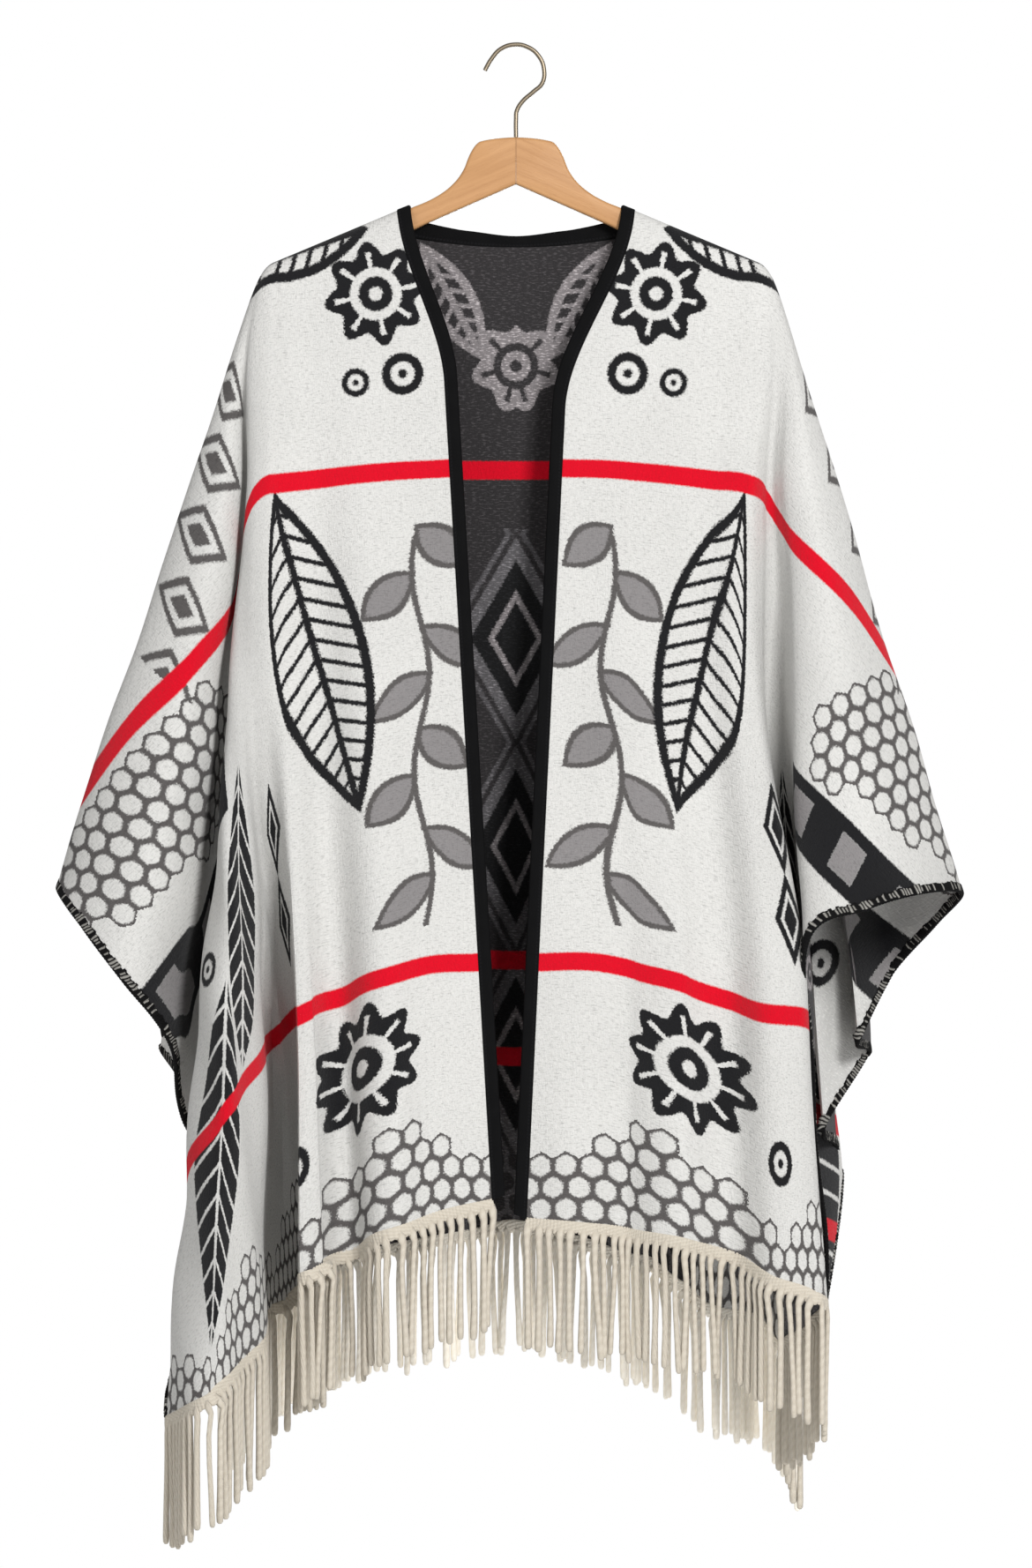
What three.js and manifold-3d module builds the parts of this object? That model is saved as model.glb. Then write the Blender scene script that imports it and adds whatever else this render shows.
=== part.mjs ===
import * as THREE from 'three';
import Module from 'manifold-3d';

// An open cape of blanket cloth on a wooden clothes hanger. Millimetres, +Z up, the front faces -Y.
// The origin is where a rail touches the inside of the hook.

// Cloth, ribbon and the clear gap between neighbouring pieces
const WALL = 2.4;
const SEAM = 0.3;
const REST_GAP = 0.55;
const BINDING_WIDTH = 10;

// Hanger: the arms slope down from the neck, and the cloth lies on their top line
const HOOK_WIRE = 4;
const HOOK_RADIUS = 25.6;
const ARM_THICKNESS = 12;
const ARM_ROUND = 5;
const ARM_PEAK = -82.4;
const ARM_LINE_X = 91.6;
const ARM_LINE_Z = -145;
const ARM_SLOPE = 0.42;
const ARM_REACH = 211;
const ARM_END = 12;
const ARM_NOTCH = -124.8;

// The cloth hangs from the shoulder line, and past the arm's end it fans out from one point
const APEX_X = 219;
const CLOTH_ABOVE_ARM = REST_GAP + (WALL / 2) * Math.hypot(1, ARM_SLOPE);
const SHOULDER_ROUNDING = 13;
const FOLDS_BEGIN = 10;
const FOLDS_FULL = 220;
const PLAIN_FORWARD = 0.05;

// Panels are meshed as grids, with closer stations near the shoulder
const STATIONS = 18;
const STATION_POWER = 1.8;
const SPLITS_PER_FOLD = 2;

// Fringe
const STRIP_DEPTH = 7;
const STRAND_LENGTH = 116;
const STRAND_RADIUS = 2.8;
const STRAND_PITCH = 10.5;
const ROOT_RADIUS = 0.9;
const ROOT_DEPTH = 2;

const LEFT = -1;
const RIGHT = 1;

// Between these distances down the cloth, the folds change from their upper to their lower form
const FOLD_CHANGE = {
  [LEFT]: { from: 330, to: 760 },
  [RIGHT]: { from: 230, to: 680 },
};

// Front edges: the straight part leans in towards the hem, and the neck flares out above it
const FRONT_EDGE = {
  [LEFT]: { top: 62.6, lean: 0.0587, flare: 33.3, flareDepth: 155 },
  [RIGHT]: { top: 41.7, lean: 0.0477, flare: 54.2, flareDepth: 180 },
};

// Fold lines of the left side from the front edge round to the middle of the back.
// along: where the line starts, 0 at the neck and 1 at the arm's end. lead: which way it leaves the
// arm's end, 90 is forward, 0 outward and -90 backward. out and fwd: how far it leans outward and
// forward for each mm of drop, at the upper and the lower level. length: shoulder to cut edge.
const LEFT_FOLDS = [
  { name: 'front edge', along: 0.0, lead: 90, outUp: 0, fwdUp: 0.042, outLow: 0, fwdLow: 0.065, length: 908 },
  { name: 'front swell', along: 0.3, lead: 90, outUp: 0, fwdUp: 0.045, outLow: 0, fwdLow: 0.07, length: 905 },
  { name: 'front flat', along: 0.55, lead: 90, outUp: 0, fwdUp: 0.055, outLow: 0, fwdLow: 0.085, length: 909 },
  { name: 'front dip', along: 0.8, lead: 90, outUp: 0, fwdUp: 0.045, outLow: 0, fwdLow: 0.055, length: 916 },
  { name: 'roll start', along: 0.92, lead: 90, outUp: 0, fwdUp: 0.062, outLow: 0, fwdLow: 0.088, length: 921 },
  { name: 'front roll', along: 1, lead: 90, outUp: -0.02, fwdUp: 0.07, outLow: -0.04, fwdLow: 0.09, length: 925 },
  { name: 'recess', along: 1, lead: 81, outUp: 0.02, fwdUp: 0.085, outLow: -0.03, fwdLow: -0.05, length: 938 },
  { name: 'recess floor', along: 1, lead: 74, outUp: 0.04, fwdUp: 0.085, outLow: -0.012, fwdLow: -0.05, length: 957 },
  { name: 'tube inner', along: 1, lead: 66, outUp: 0.06, fwdUp: 0.08, outLow: 0.008, fwdLow: 0.08, length: 985 },
  { name: 'tube crest', along: 1, lead: 55, outUp: 0.075, fwdUp: 0.065, outLow: 0.045, fwdLow: 0.15, length: 1035 },
  { name: 'corner', along: 1, lead: 47, outUp: 0.076, fwdUp: 0.03, outLow: 0.082, fwdLow: 0.08, length: 1056 },
  { name: 'side valley', along: 1, lead: 40, outUp: 0.064, fwdUp: -0.04, outLow: 0.066, fwdLow: -0.045, length: 890 },
  { name: 'valley floor', along: 1, lead: 34, outUp: 0.084, fwdUp: -0.04, outLow: 0.084, fwdLow: -0.045, length: 805 },
  { name: 'flap inner', along: 1, lead: 28, outUp: 0.105, fwdUp: 0.04, outLow: 0.12, fwdLow: 0.04, length: 722 },
  { name: 'flap crest', along: 1, lead: 19, outUp: 0.175, fwdUp: 0.11, outLow: 0.185, fwdLow: 0.11, length: 676 },
  { name: 'flap outer', along: 1, lead: 9, outUp: 0.265, fwdUp: 0.085, outLow: 0.27, fwdLow: 0.085, length: 631 },
  { name: 'seam', along: 1, lead: 0, outUp: 0.331, fwdUp: 0, outLow: 0.331, fwdLow: 0, length: 604 },
  { name: 'back ridge', along: 1, lead: -9, outUp: 0.285, fwdUp: -0.09, outLow: 0.28, fwdLow: -0.1, length: 612 },
  { name: 'back lobe', along: 1, lead: -19, outUp: 0.2, fwdUp: -0.14, outLow: 0.2, fwdLow: -0.17, length: 640 },
  { name: 'back valley 1', along: 1, lead: -29, outUp: 0.14, fwdUp: -0.07, outLow: 0.15, fwdLow: -0.07, length: 690 },
  { name: 'back fold 1', along: 1, lead: -39, outUp: 0.125, fwdUp: -0.16, outLow: 0.141, fwdLow: -0.2, length: 742 },
  { name: 'back valley 2', along: 1, lead: -49, outUp: 0.08, fwdUp: -0.08, outLow: 0.085, fwdLow: -0.08, length: 800 },
  { name: 'corner', along: 1, lead: -59, outUp: 0.07, fwdUp: -0.15, outLow: 0.06, fwdLow: -0.2, length: 1050 },
  { name: 'back valley 3', along: 1, lead: -69, outUp: 0.03, fwdUp: -0.08, outLow: 0.01, fwdLow: -0.08, length: 975 },
  { name: 'back fold 3', along: 1, lead: -80, outUp: 0, fwdUp: -0.13, outLow: -0.03, fwdLow: -0.18, length: 945 },
  { name: 'back roll', along: 1, lead: -90, outUp: -0.03, fwdUp: -0.07, outLow: -0.07, fwdLow: -0.09, length: 925 },
  { name: 'back flat', along: 0.74, lead: -90, outUp: 0, fwdUp: -0.05, outLow: 0, fwdLow: -0.075, length: 935 },
  { name: 'neck', along: 0.485, lead: -90, outUp: 0, fwdUp: -0.035, outLow: 0, fwdLow: -0.05, length: 948 },
  { name: 'back inner', along: 0.23, lead: -90, outUp: 0, fwdUp: -0.04, outLow: 0, fwdLow: -0.065, length: 966 },
];

// The right side, in the same order
const RIGHT_FOLDS = [
  { name: 'front edge', along: 0.0, lead: 90, outUp: 0, fwdUp: 0.042, outLow: 0, fwdLow: 0.06, length: 925 },
  { name: 'front swell', along: 0.25, lead: 90, outUp: 0, fwdUp: 0.045, outLow: 0, fwdLow: 0.065, length: 918 },
  { name: 'front dip', along: 0.42, lead: 90, outUp: 0, fwdUp: 0.045, outLow: 0, fwdLow: 0.05, length: 914 },
  { name: 'front flat', along: 0.65, lead: 90, outUp: 0, fwdUp: 0.06, outLow: 0, fwdLow: 0.085, length: 913 },
  { name: 'front crease', along: 0.84, lead: 90, outUp: 0, fwdUp: 0.045, outLow: 0, fwdLow: 0.065, length: 915 },
  { name: 'front roll', along: 1, lead: 90, outUp: -0.07, fwdUp: 0.065, outLow: 0.01, fwdLow: 0.1, length: 930 },
  { name: 'roll crest', along: 1, lead: 78, outUp: -0.05, fwdUp: 0.06, outLow: 0.05, fwdLow: 0.1, length: 945 },
  { name: 'roll edge', along: 1, lead: 67, outUp: -0.02, fwdUp: 0.02, outLow: 0.043, fwdLow: 0.03, length: 972 },
  { name: 'valley floor', along: 1, lead: 60, outUp: 0, fwdUp: -0.01, outLow: 0.03, fwdLow: -0.06, length: 1000 },
  { name: 'corner', along: 1, lead: 52, outUp: 0.03, fwdUp: -0.01, outLow: 0.044, fwdLow: -0.06, length: 1040 },
  { name: 'deep valley', along: 1, lead: 42, outUp: 0.05, fwdUp: 0.04, outLow: 0.056, fwdLow: 0.02, length: 760 },
  { name: 'flap inner', along: 1, lead: 31, outUp: 0.075, fwdUp: 0.11, outLow: 0.05, fwdLow: 0.13, length: 628 },
  { name: 'flap crest', along: 1, lead: 20, outUp: 0.16, fwdUp: 0.16, outLow: 0.145, fwdLow: 0.165, length: 605 },
  { name: 'flap outer', along: 1, lead: 9, outUp: 0.25, fwdUp: 0.1, outLow: 0.245, fwdLow: 0.105, length: 597 },
  { name: 'seam', along: 1, lead: 0, outUp: 0.306, fwdUp: 0, outLow: 0.306, fwdLow: 0, length: 606 },
  { name: 'back ridge', along: 1, lead: -9, outUp: 0.265, fwdUp: -0.08, outLow: 0.255, fwdLow: -0.085, length: 630 },
  { name: 'back lobe', along: 1, lead: -18, outUp: 0.19, fwdUp: -0.13, outLow: 0.18, fwdLow: -0.15, length: 672 },
  { name: 'back valley 1', along: 1, lead: -27, outUp: 0.125, fwdUp: -0.07, outLow: 0.12, fwdLow: -0.08, length: 722 },
  { name: 'back fold 1', along: 1, lead: -36, outUp: 0.12, fwdUp: -0.15, outLow: 0.134, fwdLow: -0.18, length: 750 },
  { name: 'back valley 2', along: 1, lead: -45, outUp: 0.075, fwdUp: -0.08, outLow: 0.07, fwdLow: -0.1, length: 806 },
  { name: 'back fold 2', along: 1, lead: -54, outUp: 0.08, fwdUp: -0.15, outLow: 0.092, fwdLow: -0.21, length: 860 },
  { name: 'corner', along: 1, lead: -63, outUp: 0.035, fwdUp: -0.08, outLow: 0.045, fwdLow: -0.11, length: 1045 },
  { name: 'back fold 3', along: 1, lead: -72, outUp: 0.02, fwdUp: -0.14, outLow: 0.01, fwdLow: -0.2, length: 1005 },
  { name: 'back valley 3', along: 1, lead: -81, outUp: -0.02, fwdUp: -0.07, outLow: -0.05, fwdLow: -0.1, length: 968 },
  { name: 'back roll', along: 1, lead: -90, outUp: -0.04, fwdUp: -0.09, outLow: -0.1, fwdLow: -0.13, length: 938 },
  { name: 'back flat', along: 0.74, lead: -90, outUp: 0, fwdUp: -0.05, outLow: 0, fwdLow: -0.07, length: 940 },
  { name: 'neck', along: 0.485, lead: -90, outUp: 0, fwdUp: -0.035, outLow: 0, fwdLow: -0.055, length: 950 },
  { name: 'back inner', along: 0.23, lead: -90, outUp: 0, fwdUp: -0.04, outLow: 0, fwdLow: -0.06, length: 966 },
];

const BACK_MIDDLE = { along: 0, lead: -90, outUp: 0, fwdUp: -0.045, outLow: 0, fwdLow: -0.05, length: 978 };

// Back neckline: drops quickly behind the arm at the neck point and scoops down to the middle
const SCOOP_EDGE = 22;
const SCOOP_SAG = 11;
const NECK_TURN_STEPS = 7;
const NECK_TURN_X = 1.6;

const lerp = THREE.MathUtils.lerp;
const smooth = THREE.MathUtils.smoothstep;

function armTop(x) {
  return ARM_LINE_Z - ARM_SLOPE * (Math.abs(x) - ARM_LINE_X);
}

function shoulderHeight(x) {
  return armTop(x) + CLOTH_ABOVE_ARM;
}

function frontEdge(side, depth) {
  const edge = FRONT_EDGE[side];
  return edge.top - edge.lean * depth + edge.flare * (1 - smooth(depth, 0, edge.flareDepth));
}

// One fold line as a curve: the point at a distance r down the cloth from the shoulder line
function coneLine(side, row, silhouette) {
  const lead = THREE.MathUtils.degToRad(row.lead);
  const arm = Math.atan(ARM_SLOPE);
  const leave = new THREE.Vector3(
    side * Math.cos(lead) * Math.cos(arm), -Math.sin(lead), -Math.cos(lead) * Math.sin(arm));
  const apex = new THREE.Vector3(side * APEX_X, 0, shoulderHeight(APEX_X));
  const plainOut = silhouette * Math.cos(lead);
  const plainFwd = PLAIN_FORWARD * Math.sin(lead);
  return (r) => {
    const low = smooth(r, FOLD_CHANGE[side].from, FOLD_CHANGE[side].to);
    const full = smooth(r, FOLDS_BEGIN, FOLDS_FULL);
    const out = lerp(plainOut, lerp(row.outUp, row.outLow, low), full);
    const fwd = lerp(plainFwd, lerp(row.fwdUp, row.fwdLow, low), full);
    const round = SHOULDER_ROUNDING * (1 - Math.exp(-r / SHOULDER_ROUNDING));
    const drop = (r - round) / Math.hypot(out, fwd, 1);
    return leave.clone().multiplyScalar(round).add(apex)
      .add(new THREE.Vector3(side * out * drop, -fwd * drop, -drop));
  };
}

// A fold line that starts on the shoulder between the neck and the arm's end
function panelLine(side, row, apexLine, innerEdge, startX) {
  const facing = -Math.sign(row.lead);
  return (r) => {
    const low = smooth(r, FOLD_CHANGE[side].from, FOLD_CHANGE[side].to);
    const fwd = Math.abs(lerp(row.fwdUp, row.fwdLow, low));
    const round = SHOULDER_ROUNDING * (1 - Math.exp(-r / SHOULDER_ROUNDING));
    const drop = (r - round) / Math.hypot(fwd, 1);
    const x = lerp(side * innerEdge(drop), apexLine(r).x, row.along);
    return new THREE.Vector3(x, facing * (round + fwd * drop), shoulderHeight(startX(row.along)) - drop);
  };
}

// All the fold lines of one side, front edge first
function foldLines(side, rows) {
  const silhouette = rows.find((row) => row.name === 'seam').outUp;
  const clothEdge = (depth) => frontEdge(side, depth) + BINDING_WIDTH + SEAM;
  const frontRoll = coneLine(side, rows.find((row) => row.name === 'front roll'), silhouette);
  const backRoll = coneLine(side, rows.find((row) => row.name === 'back roll'), silhouette);
  return rows.map((row) => {
    let at = coneLine(side, row, silhouette);
    if (row.along < 1 && row.lead > 0) {
      at = panelLine(side, row, frontRoll, clothEdge, (a) => lerp(clothEdge(0), APEX_X, a));
    } else if (row.along < 1) {
      at = panelLine(side, row, backRoll, () => 0, (a) => a * APEX_X);
    }
    return { name: row.name, along: row.along, length: row.length, at };
  });
}

// Smooth passage through values p1 and p2, with the next ones, p0 and p3, setting the slopes
function hermite(p0, p1, p2, p3, t, minus, plus, times, span) {
  const small = 0.01;
  const d01 = span(p0, p1) + small;
  const d12 = span(p1, p2) + small;
  const d23 = span(p2, p3) + small;
  const slope = (a, b, c, dab, dbc) => plus(
    times(minus(b, a), (dbc / (dab + dbc)) * (d12 / dab)),
    times(minus(c, b), (dab / (dab + dbc)) * (d12 / dbc)));
  const m1 = slope(p0, p1, p2, d01, d12);
  const m2 = slope(p1, p2, p3, d12, d23);
  const t2 = t * t;
  const t3 = t2 * t;
  return plus(
    plus(times(p1, 2 * t3 - 3 * t2 + 1), times(m1, t3 - 2 * t2 + t)),
    plus(times(p2, 3 * t2 - 2 * t3), times(m2, t3 - t2)));
}

function smoothPoint(p0, p1, p2, p3, t) {
  return hermite(p0, p1, p2, p3, t,
    (a, b) => a.clone().sub(b), (a, b) => a.clone().add(b),
    (a, k) => a.clone().multiplyScalar(k), (a, b) => a.distanceTo(b));
}

function smoothNumber(p0, p1, p2, p3, t) {
  return hermite(p0, p1, p2, p3, t,
    (a, b) => a - b, (a, b) => a + b, (a, k) => a * k, () => 1);
}

// The cloth's middle surface at position s across the fold lines and distance r down
function clothPoint(lines, s, r) {
  const j = THREE.MathUtils.clamp(Math.floor(s), 0, lines.length - 2);
  const near = lines[j].at(r);
  const next = lines[j + 1].at(r);
  const before = j > 0 ? lines[j - 1].at(r) : near.clone().multiplyScalar(2).sub(next);
  const after = j + 2 < lines.length ? lines[j + 2].at(r) : next.clone().multiplyScalar(2).sub(near);
  return smoothPoint(before, near, next, after, s - j);
}

// Outward normal, the same on both sides of a seam because the lines run on past it
function clothNormal(lines, s, r) {
  const reach = 0.02;
  const across = clothPoint(lines, s + reach, r).sub(clothPoint(lines, s - reach, r));
  const down = clothPoint(lines, s, r + 1).sub(clothPoint(lines, s, r - 1));
  return across.cross(down).normalize();
}

// Where the cloth ends: smooth along the hem and along the side edge, sharp at a corner
function clothLength(lines, s) {
  const j = THREE.MathUtils.clamp(Math.floor(s), 0, lines.length - 2);
  const near = lines[j].length;
  const next = lines[j + 1].length;
  const runsOn = (k) => k > 0 && k < lines.length - 1 && lines[k].name !== 'corner';
  const before = runsOn(j) ? lines[j - 1].length : 2 * near - next;
  const after = runsOn(j + 1) ? lines[j + 2].length : 2 * next - near;
  return smoothNumber(before, near, next, after, s - j);
}

// A closed wall from a grid of middle points with normals; rows that meet in one point are shared
function wallFromGrid(points, normals) {
  const keys = new Map();
  const middle = [];
  const facing = [];
  const index = points.map((column, i) => column.map((point, j) => {
    const key = point.toArray().map((v) => v.toFixed(3)).join(' ');
    if (!keys.has(key)) {
      keys.set(key, middle.length);
      middle.push(point);
      facing.push(normals[i][j].clone());
    } else {
      facing[keys.get(key)].add(normals[i][j]);
    }
    return keys.get(key);
  }));
  const faces = [];
  const addFace = (a, b, c) => {
    if (a !== b && b !== c && c !== a) faces.push([a, b, c]);
  };
  for (let i = 0; i + 1 < index.length; i += 1) {
    for (let j = 0; j + 1 < index[i].length; j += 1) {
      addFace(index[i][j], index[i + 1][j], index[i + 1][j + 1]);
      addFace(index[i][j], index[i + 1][j + 1], index[i][j + 1]);
    }
  }
  const open = new Map();
  for (const [a, b, c] of faces) {
    for (const [p, q] of [[a, b], [b, c], [c, a]]) {
      if (open.has(`${q} ${p}`)) open.delete(`${q} ${p}`);
      else open.set(`${p} ${q}`, [p, q]);
    }
  }
  const count = middle.length;
  const shift = (k, sign) => facing[k].clone().normalize().multiplyScalar((sign * WALL) / 2).add(middle[k]);
  const vertices = [
    ...middle.map((_, k) => shift(k, 1)),
    ...middle.map((_, k) => shift(k, -1)),
  ];
  const triangles = [];
  for (const [a, b, c] of faces) {
    triangles.push([a, b, c], [a + count, c + count, b + count]);
  }
  // Edge faces are split along the shorter diagonal, so that two pieces split a seam alike
  for (const [p, q] of open.values()) {
    const down = vertices[q].distanceTo(vertices[p + count]);
    const up = vertices[p].distanceTo(vertices[q + count]);
    if (down < up) triangles.push([q, p, p + count], [q, p + count, q + count]);
    else triangles.push([q, p, q + count], [p, p + count, q + count]);
  }
  return closedGeometry(vertices, triangles);
}

// Face order is turned round where the solid comes out inside out
function closedGeometry(vertices, triangles) {
  let volume = 0;
  for (const [a, b, c] of triangles) {
    volume += vertices[a].dot(vertices[b].clone().cross(vertices[c]));
  }
  const ordered = volume > 0 ? triangles : triangles.map(([a, b, c]) => [a, c, b]);
  const geometry = new THREE.BufferGeometry();
  geometry.setAttribute('position', new THREE.Float32BufferAttribute(vertices.flatMap((v) => v.toArray()), 3));
  geometry.setIndex(ordered.flat());
  geometry.computeVertexNormals();
  return geometry;
}

// A wall over columns (s, first r, last r). A shift moves a column sideways off its seam, and
// the columns that leave the arm's end all start in its tip.
function clothWall(lines, columns, stations = STATIONS, power = STATION_POWER) {
  const points = [];
  const normals = [];
  for (const { s, from, to, shift = 0, tip } of columns) {
    const column = [];
    const facing = [];
    for (let i = 0; i <= stations; i += 1) {
      const r = lerp(from, to, (i / stations) ** power);
      if (i === 0 && tip) {
        column.push(tip.point);
        facing.push(tip.normal);
        continue;
      }
      const point = clothPoint(lines, s, r);
      const normal = clothNormal(lines, s, r);
      if (shift) {
        const down = clothPoint(lines, s, r + 1).sub(point);
        const sideways = normal.clone().cross(down).normalize();
        point.addScaledVector(sideways, shift);
      }
      column.push(point);
      facing.push(normal);
    }
    points.push(column);
    normals.push(facing);
  }
  return wallFromGrid(points, normals);
}

const leftLines = foldLines(LEFT, LEFT_FOLDS);
const rightLines = foldLines(RIGHT, RIGHT_FOLDS);
const seamOf = (lines) => lines.findIndex((line) => line.name === 'seam');
const middleLine = {
  name: 'middle', along: 0, length: BACK_MIDDLE.length,
  at: panelLine(RIGHT, BACK_MIDDLE, () => new THREE.Vector3(), () => 0, () => 0),
};
const backLines = [
  ...leftLines.slice(seamOf(leftLines) - 1),
  middleLine,
  ...rightLines.slice(seamOf(rightLines) - 1).reverse(),
];

const material = (name, color, roughness, metalness = 0) =>
  new THREE.MeshStandardMaterial({ name, color, roughness, metalness });
const CLOTH = { name: 'blanket cloth', color: 0xe2e0da, roughness: 0.95 };
const RIBBON = { name: 'black ribbon', color: 0x0b0b0b, roughness: 0.7 };
const YARN = { name: 'cream yarn', color: 0xe6dfd0, roughness: 0.95 };
const WOOD = { name: 'beech', color: 0xe3b68f, roughness: 0.55 };
const STEEL = { name: 'satin steel', color: 0xb9b4aa, roughness: 0.3, metalness: 1 };

const cape = new THREE.Group();

function addMesh(name, geometry, look) {
  const mesh = new THREE.Mesh(geometry, material(look.name, look.color, look.roughness, look.metalness));
  mesh.name = name;
  cape.add(mesh);
  return mesh;
}

// Where a fan of columns starts: the cloth's top over the end of the arm, just off the shoulder seam
function armTip(side, facing) {
  return {
    point: new THREE.Vector3(side * APEX_X, (facing * SEAM) / 2, shoulderHeight(APEX_X)),
    normal: new THREE.Vector3(side * 0.6, 0, 0.8).multiplyScalar(facing * side),
  };
}

// Front panels, from the front edge out to the shoulder seam
function frontColumns(side, lines) {
  const seam = seamOf(lines);
  const roll = lines.findIndex((line) => line.name === 'front roll');
  const columns = [];
  for (let i = 0; i <= seam * SPLITS_PER_FOLD; i += 1) {
    const s = i / SPLITS_PER_FOLD;
    const column = { s, from: SEAM / 2, to: clothLength(lines, s) };
    if (s >= roll) column.tip = armTip(side, -1);
    if (s === seam) column.shift = SEAM / 2;
    columns.push(column);
  }
  return columns;
}

addMesh('front_left', clothWall(leftLines, frontColumns(LEFT, leftLines)), CLOTH);
addMesh('front_right', clothWall(rightLines, frontColumns(RIGHT, rightLines)), CLOTH);

// Back panel, from seam to seam, with the neck scoop between the two neck lines
const BACK_LAST = backLines.length - 2;
const necks = backLines.flatMap((line, k) => (line.name === 'neck' ? [k] : []));
const backRolls = backLines.flatMap((line, k) => (line.name === 'back roll' ? [k] : []));

function alongAt(s) {
  const j = Math.min(Math.floor(s), backLines.length - 2);
  return lerp(backLines[j].along, backLines[j + 1].along, s - j);
}

const middleAt = backLines.indexOf(middleLine);

function scoop(x, halfWidth, top) {
  return top + shoulderHeight(x) - shoulderHeight(halfWidth) + SCOOP_SAG * (1 - (x / halfWidth) ** 2);
}

// The fold-line position of a point x on the shoulder or the back neckline
function backLineAt(x) {
  const step = x < 0 ? -1 : 1;
  let k = middleAt;
  while (backLines[k + step].along * APEX_X < Math.abs(x)) k += step;
  const near = backLines[k].along * APEX_X;
  const far = backLines[k + step].along * APEX_X;
  return k + (step * (Math.abs(x) - near)) / (far - near);
}

// The neckline from the left seam to the right one: it runs down behind the arm, turning in by
// NECK_TURN_X, and then along the scoop. part is how far it has come down behind the arm.
const neckHalf = backLines[necks[0]].along * APEX_X;
const neckCloth = SCOOP_EDGE + BINDING_WIDTH + SEAM;
const neckline = [];
for (let i = 0; i <= NECK_TURN_STEPS; i += 1) {
  const part = i / NECK_TURN_STEPS;
  neckline.push({ x: -(neckHalf - NECK_TURN_X * part), part });
}
for (let i = necks[0] * SPLITS_PER_FOLD + 1; i < necks[1] * SPLITS_PER_FOLD; i += 1) {
  neckline.push({ x: alongAt(i / SPLITS_PER_FOLD) * APEX_X * Math.sign(i / SPLITS_PER_FOLD - middleAt), part: 1 });
}
for (let i = NECK_TURN_STEPS; i >= 0; i -= 1) {
  neckline.push({ x: -neckline[i].x, part: neckline[i].part });
}

const backColumns = [];
for (let i = 0; i <= (BACK_LAST - 1) * SPLITS_PER_FOLD; i += 1) {
  const s = 1 + i / SPLITS_PER_FOLD;
  const column = { s, from: SEAM / 2, to: clothLength(backLines, s) };
  if (s <= backRolls[0]) column.tip = armTip(LEFT, 1);
  if (s >= backRolls[1]) column.tip = armTip(RIGHT, 1);
  if (s === 1) column.shift = -SEAM / 2;
  if (s === BACK_LAST) column.shift = SEAM / 2;
  if (s < necks[0] || s > necks[1]) backColumns.push(column);
}
const neckColumns = neckline.map(({ x, part }) => {
  const s = backLineAt(x);
  const from = part < 1 ? lerp(SEAM / 2, neckCloth, part) : scoop(x, neckHalf - NECK_TURN_X, neckCloth);
  return { s, from, to: clothLength(backLines, s) };
});
backColumns.splice(backColumns.findIndex(({ s }) => s > necks[1]), 0, ...neckColumns);
addMesh('back', clothWall(backLines, backColumns), CLOTH);

// Ribbon bindings: one down each front edge, and one round the back neck
for (const [name, side, rows] of [['binding_left', LEFT, LEFT_FOLDS], ['binding_right', RIGHT, RIGHT_FOLDS]]) {
  const edges = [0, BINDING_WIDTH].map((offset) => {
    const edge = (depth) => frontEdge(side, depth) + offset;
    const at = panelLine(side, rows[0], () => new THREE.Vector3(), edge, () => edge(0));
    return { name: 'edge', along: 0, length: rows[0].length, at };
  });
  const columns = [0, 1].map((s) => ({ s, from: SEAM / 2, to: rows[0].length }));
  addMesh(name, clothWall(edges, columns), RIBBON);
}

const neckPoints = [];
const neckNormals = [];
for (const { x, part } of neckline) {
  const rim = [BINDING_WIDTH, 0].map((inset) => {
    const half = neckHalf - SEAM - inset;
    const rimX = x * (half / neckHalf);
    const top = neckCloth - SEAM - inset;
    const s = backLineAt(rimX);
    const r = part < 1 ? lerp(SEAM / 2, top, part) : scoop(x, neckHalf - NECK_TURN_X, top);
    return [clothPoint(backLines, s, r), clothNormal(backLines, s, r)];
  });
  neckPoints.push(rim.map(([point]) => point));
  neckNormals.push(rim.map(([, normal]) => normal));
}
addMesh('binding_neck', wallFromGrid(neckPoints, neckNormals), RIBBON);

// Fringe: yarn strands, rooted in a narrow strip along the hem
const wasm = await Module();
wasm.setup();

function toSolid(geometry) {
  return new wasm.Manifold(new wasm.Mesh({
    numProp: 3,
    vertProperties: new Float32Array(geometry.getAttribute('position').array),
    triVerts: new Uint32Array(geometry.getIndex().array),
  }));
}

function fromSolid(solid) {
  const mesh = solid.getMesh();
  const geometry = new THREE.BufferGeometry();
  geometry.setAttribute('position', new THREE.BufferAttribute(mesh.vertProperties, 3));
  geometry.setIndex(new THREE.BufferAttribute(mesh.triVerts, 1));
  geometry.computeVertexNormals();
  return geometry;
}

// The same spread of values on each run, from -1 to 1
function scatter(k) {
  const value = Math.sin(k * 12.9898) * 43758.5453;
  return 2 * (value - Math.floor(value)) - 1;
}

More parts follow.
